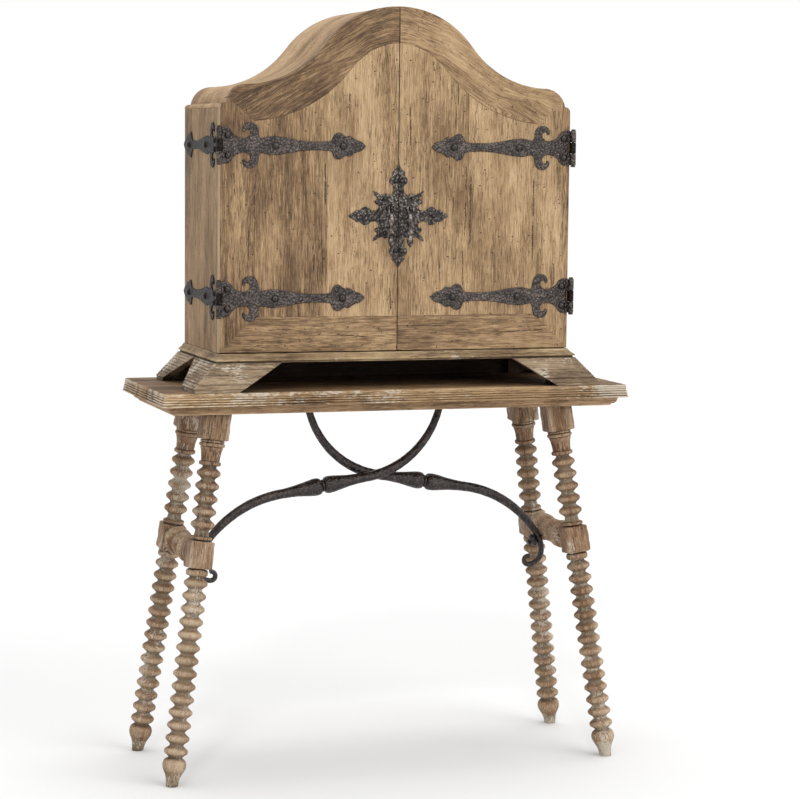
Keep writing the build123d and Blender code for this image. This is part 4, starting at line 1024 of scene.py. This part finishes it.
def dome(shells, base, normal, radius, height, grain, segments=20):
    """Adds the domed head of a forged nail in a seat ring that is painted dark as shade."""
    across = normal.orthogonal()
    seat = [(radius * 0.5, -0.6), (radius + 1.7, -0.6), (radius + 1.7, 0.5), (radius + 1.2, 0.75), (radius * 0.9, 0.7),
            (radius * 0.5, 0.65)]
    turned(shells, base, normal, across, seat, grain, 0, radius, segments=segments, rough=0.06, lift=-2)
    head = [(radius * 0.3, -0.3), (radius, -0.3), (radius, height * 0.2), (radius * 0.95, height * 0.42),
            (radius * 0.8, height * 0.7), (radius * 0.55, height * 0.9), (radius * 0.28, height * 0.985),
            (radius * 0.06, height)]
    turned(shells, base, normal, across, head, grain, 0, radius, segments=segments, rough=0.12, lift=2)


PLATE_THICKNESS = 3.5
half_leaf = smooth_line([(11, 0), (11, 20), (11, 41)], 5) + curves(
    [(11, 41), (16, 45.5), (25, 44), (33, 38), (38, 30), (46, 23.5), (56, 19.5), (66, 17.5)],
    [(75, 19.5), (81.5, 25), (83.5, 32), (81, 38.5), (75.5, 41), (71, 38.5), (70.5, 34)],
    [(66.5, 33.5), (63.3, 38), (64, 45.5), (69.5, 53), (79, 57), (90, 56), (99, 50), (104, 40.5),
     (105, 30), (107, 22)],
    [(112, 19), (120, 20), (130, 22.2), (142, 23.4), (160, 22), (180, 18.8), (200, 15.2),
     (224, 12), (250, 10.6), (275, 11), (291, 12)],
    [(297, 15), (300, 22), (305, 30), (313, 33.5), (322, 32), (329, 27), (335, 23.5)],
    [(342, 26), (349, 24), (355, 19), (364, 15), (373, 12.5), (380, 8), (388, 0)],
)
leaf_outline = closed(half_leaf, 1.9)
PIVOT_X, PIVOT_Y = half_width + 5.5, door_front - 10
HINGE_Z = {"lower": door_foot + 137, "upper": door_foot + 523}
NAILS = {"door": ((24, 25, 8), (24, -25, 8), (149, 0, 8.8), (327, 0, 8.8)),
         "side": ((52, 11, 7), (52, -11, 7), (149, 0, 8.8), (327, 0, 8.8))}
KNUCKLES = {"door": ((-45, -15), (15, 45)), "side": ((-14.4, 14.4),)}
for side_name, side in SIDES.items():
    for place_name, middle in HINGE_Z.items():
        for kind in NAILS:
            if kind == "door":
                lay = lambda u, v, w: Vector((side * (PIVOT_X - u), door_front - w, middle + v))
                normal, body = -Y, f"door_{side_name}"
            else:
                lay = lambda u, v, w: Vector((side * (half_width + w), PIVOT_Y + u, middle + v))
                normal, body = side * X, STAND
            name = f"strap_{kind}_{place_name}_{side_name}"
            grain = lined_up(X, name)
            strap = Shells()
            plate(strap, leaf_outline, lay, PLATE_THICKNESS, 3.2, grain)
            for low, high in KNUCKLES[kind]:
                barrel = [(3.4, low), (6.4, low), (7.2, low + 0.8), (7.4, low + 3), (7.4, high - 3), (7.2, high - 0.8),
                          (6.4, high), (3.4, high)]
                turned(strap, Vector((side * PIVOT_X, PIVOT_Y, middle)), UP, X, barrel, grain, 0, 8,
                       segments=20, rough=0.12)
                corners = [lay(u, low + 0.6, w) for u, w in ((2, 4.6), (14, 4.2), (14, 0.4), (3, 0.4))]
                lift = Vector((0, 0, high - low - 1.2))
                strap.add(*loft([corners, [c + lift for c in corners]]), grain)
            for u, v, radius in NAILS[kind]:
                dome(strap, lay(u, v, PLATE_THICKNESS - 0.7), normal, radius, 6.8, grain)
            piece(name, strap, "strap_iron", body, [f"{kind}_leaf_{place_name}_{side_name}"], sharp=60)

PIN = [(2, -49.2), (5.4, -49.2), (6.2, -48.4), (6.2, -46.2), (5.6, -45.4), (3, -45.3), (3, 45.3), (5.6, 45.4),
       (6.2, 46.2), (6, 48), (4.4, 49.1), (1.5, 49.3)]
pins = Shells()
for side in SIDES.values():
    for middle in HINGE_Z.values():
        turned(pins, Vector((side * PIVOT_X, PIVOT_Y, middle)), UP, X, PIN, lined_up(UP, "pins"), 0, 6,
               segments=18, rough=0.08)
piece("hinge_pins_forged", pins, "strap_iron", STAND, ["hinge_pins"])

# ---- escutcheon and drop pulls
plate_outline = closed(curves(
    [(1.1, 131), (5, 125), (10, 117), (17, 112), (15.5, 105), (21, 98), (24.5, 90), (21.5, 83), (15.5, 79),
     (14, 71)],
    [(14.5, 63), (18.5, 56), (26, 52.5)],
    [(31, 56.5), (38, 57), (45, 53)],
    [(52, 56), (59, 60.5), (69, 64)],
    [(65.5, 55), (60, 49), (55.5, 44)],
    [(60, 41.5), (63, 38), (63.5, 33)],
    [(59, 30), (54, 28.5), (52.5, 25)],
    [(55, 19), (61, 14), (69, 13.5)],
    [(76, 15.5), (83, 22), (90, 23.5), (98, 20), (104, 14.5), (113, 15), (120, 9.5), (128, 4.5),
     (135.5, 0)],
), 1.6)
PLATE_NAILS = ((8, 89.5, 5.2), (95, 0, 5.2), (8, -89.5, 5.2), (37, 44, 4.2), (37, -44, 4.2))
PULL_X, PULL_Y, PULL_Z = 25.5, door_front - 22, plate_z + 20
SHAFT_TOP = -13                 # where the two arms of a pull meet its shaft
pull_profile = smooth_line([
    (3.5, 7), (5, 4), (5, 0), (4.6, -6), (5.2, -14), (7.6, -22), (9.2, -30), (9, -38), (6.6, -46), (5.4, -52),
    (5.6, -57), (9.8, -61), (10.4, -64), (9.6, -67), (5.8, -70), (6.2, -74), (8.6, -80), (9, -86), (7.2, -92),
    (4, -97), (1, -100)], 3)
shaft = [(p.x, p.y) for p in pull_profile if p.y < SHAFT_TOP]
for side_name, side in SIDES.items():
    door = f"door_{side_name}"
    name = f"escutcheon_plate_{side_name}"
    grain = lined_up(X, name)
    on_door = lambda u, v, w: Vector((side * u, door_front - w, plate_z + v))
    halves = Shells()
    plate(halves, plate_outline, on_door, PLATE_THICKNESS, 2.6, grain, hammer=0.7)
    for u, v, radius in PLATE_NAILS:
        dome(halves, on_door(u, v, 2.8), -Y, radius, 4.4, grain, segments=16)
    piece(name, halves, "strap_iron", door, [f"escutcheon_{side_name}"], sharp=60)
    eased(f"pull_bracket_{side_name}", "strap_iron", door, grain, edge=0.9, name=f"forged_lug_{side_name}")
    eased(f"pull_pin_{side_name}", "strap_iron", door, grain, edge=0.5, name=f"forged_pin_{side_name}")
    drop = Shells()
    centre = Vector((side * PULL_X, PULL_Y, PULL_Z))
    turned(drop, centre, UP, X, shaft, grain, 4, 10, segments=22, rough=0.5)
    for arm in (-1, 1):
        line = smooth_line([(arm * 6.6, 6.5), (arm * 7.4, 0), (arm * 7.2, -7), (arm * 5, -14), (arm * 1.5, -20)], 4)
        rings = []
        for k, p in enumerate(line):
            way = (line[min(k + 1, len(line) - 1)] - line[max(k - 1, 0)]).normalized()
            cross = Vector((way.y, 0, -way.x))
            radius = 3.1 if 0 < k < len(line) - 1 else 2.2
            middle = centre + Vector((p.x, 0, p.y))
            rings.append([middle + (cross * math.cos(a) * 0.85 + Y * math.sin(a) * 1.25) * radius
                          for a in [2 * math.pi * j / 14 for j in range(14)]])
        drop.add(*loft(rings), grain)
    piece(f"drop_pull_{side_name}", drop, "strap_iron", f"pull_{side_name}", [f"pull_{side_name}"], sharp=60)

# ---- floor, light and camera
FLOOR_REACH = 60.0              # metres
FLOOR_COLOUR, FLOOR_GLOW, AMBIENT = 0.75, 0.075, 0.55
WHITE = (1, 1, 1, 1)
# Strength, width in degrees and the way to the lamp.
LAMPS = {
    "key": (1.2, 50, (0.55, -0.78, 0.55)), "top": (1.45, 44, (0.08, 0.08, 1)),
    "fill": (0.15, 80, (-0.9, -0.6, 0.35)), "glint": (0.4, 8, (-0.3, -0.7, 0.7)),
}
EYE = Vector((-2047.1, -6384.5, 1632.4))
YAW, PITCH, ROLL = 0.3204, 0.1005, 0.0098
FOCAL_PIXELS, FRAME_PIXELS = 2537.9, 800

scene = bpy.context.scene
material, surface = new_material("floor_white")
for key, setting in (("Base Color", (*[FLOOR_COLOUR] * 3, 1)), ("Roughness", 1.0), ("Specular IOR Level", 0.0),
                     ("Emission Color", WHITE)):
    surface.inputs[key].default_value = setting
glow = seen_straight(surface.id_data) * FLOOR_GLOW
surface.id_data.links.new(glow.socket, surface.inputs["Emission Strength"])
mesh = bpy.data.meshes.new("floor")
corners = [(x * FLOOR_REACH, y * FLOOR_REACH, 0) for x, y in ((-1, -1), (1, -1), (1, 1), (-1, 1))]
mesh.from_pydata(corners, [], [(0, 1, 2, 3)])
mesh.materials.append(material)
placed("floor", mesh)

scene.world = bpy.data.worlds.new("studio")
scene.world.use_nodes = True
tree = scene.world.node_tree
ground = tree.nodes["Background"]
ground.inputs["Color"].default_value = WHITE
tree.links.new(seen_straight(tree).times_plus(1 - AMBIENT, AMBIENT).socket, ground.inputs["Strength"])

for name, (strength, width, towards) in LAMPS.items():
    sun = bpy.data.lights.new(name, "SUN")
    sun.energy, sun.angle = strength, math.radians(width)
    lamp = placed(name, sun)
    lamp.rotation_mode = "QUATERNION"
    lamp.rotation_quaternion = Vector(towards).to_track_quat("Z", "Y")

camera = bpy.data.cameras.new("camera")
camera.sensor_width = 36.0
camera.lens = FOCAL_PIXELS / FRAME_PIXELS * camera.sensor_width
camera.clip_end = 200
eye = placed("camera", camera)
forward = Vector((math.sin(YAW) * math.cos(PITCH), math.cos(YAW) * math.cos(PITCH), -math.sin(PITCH)))
level = forward.cross(UP).normalized()
rise = level.cross(forward)
right = level * math.cos(ROLL) + rise * math.sin(ROLL)
top = rise * math.cos(ROLL) - level * math.sin(ROLL)
eye.rotation_mode = "QUATERNION"
eye.rotation_quaternion = Matrix((right, top, -forward)).transposed().to_quaternion()
eye.location = EYE * MM
scene.camera = eye
scene.view_settings.view_transform = "Standard"
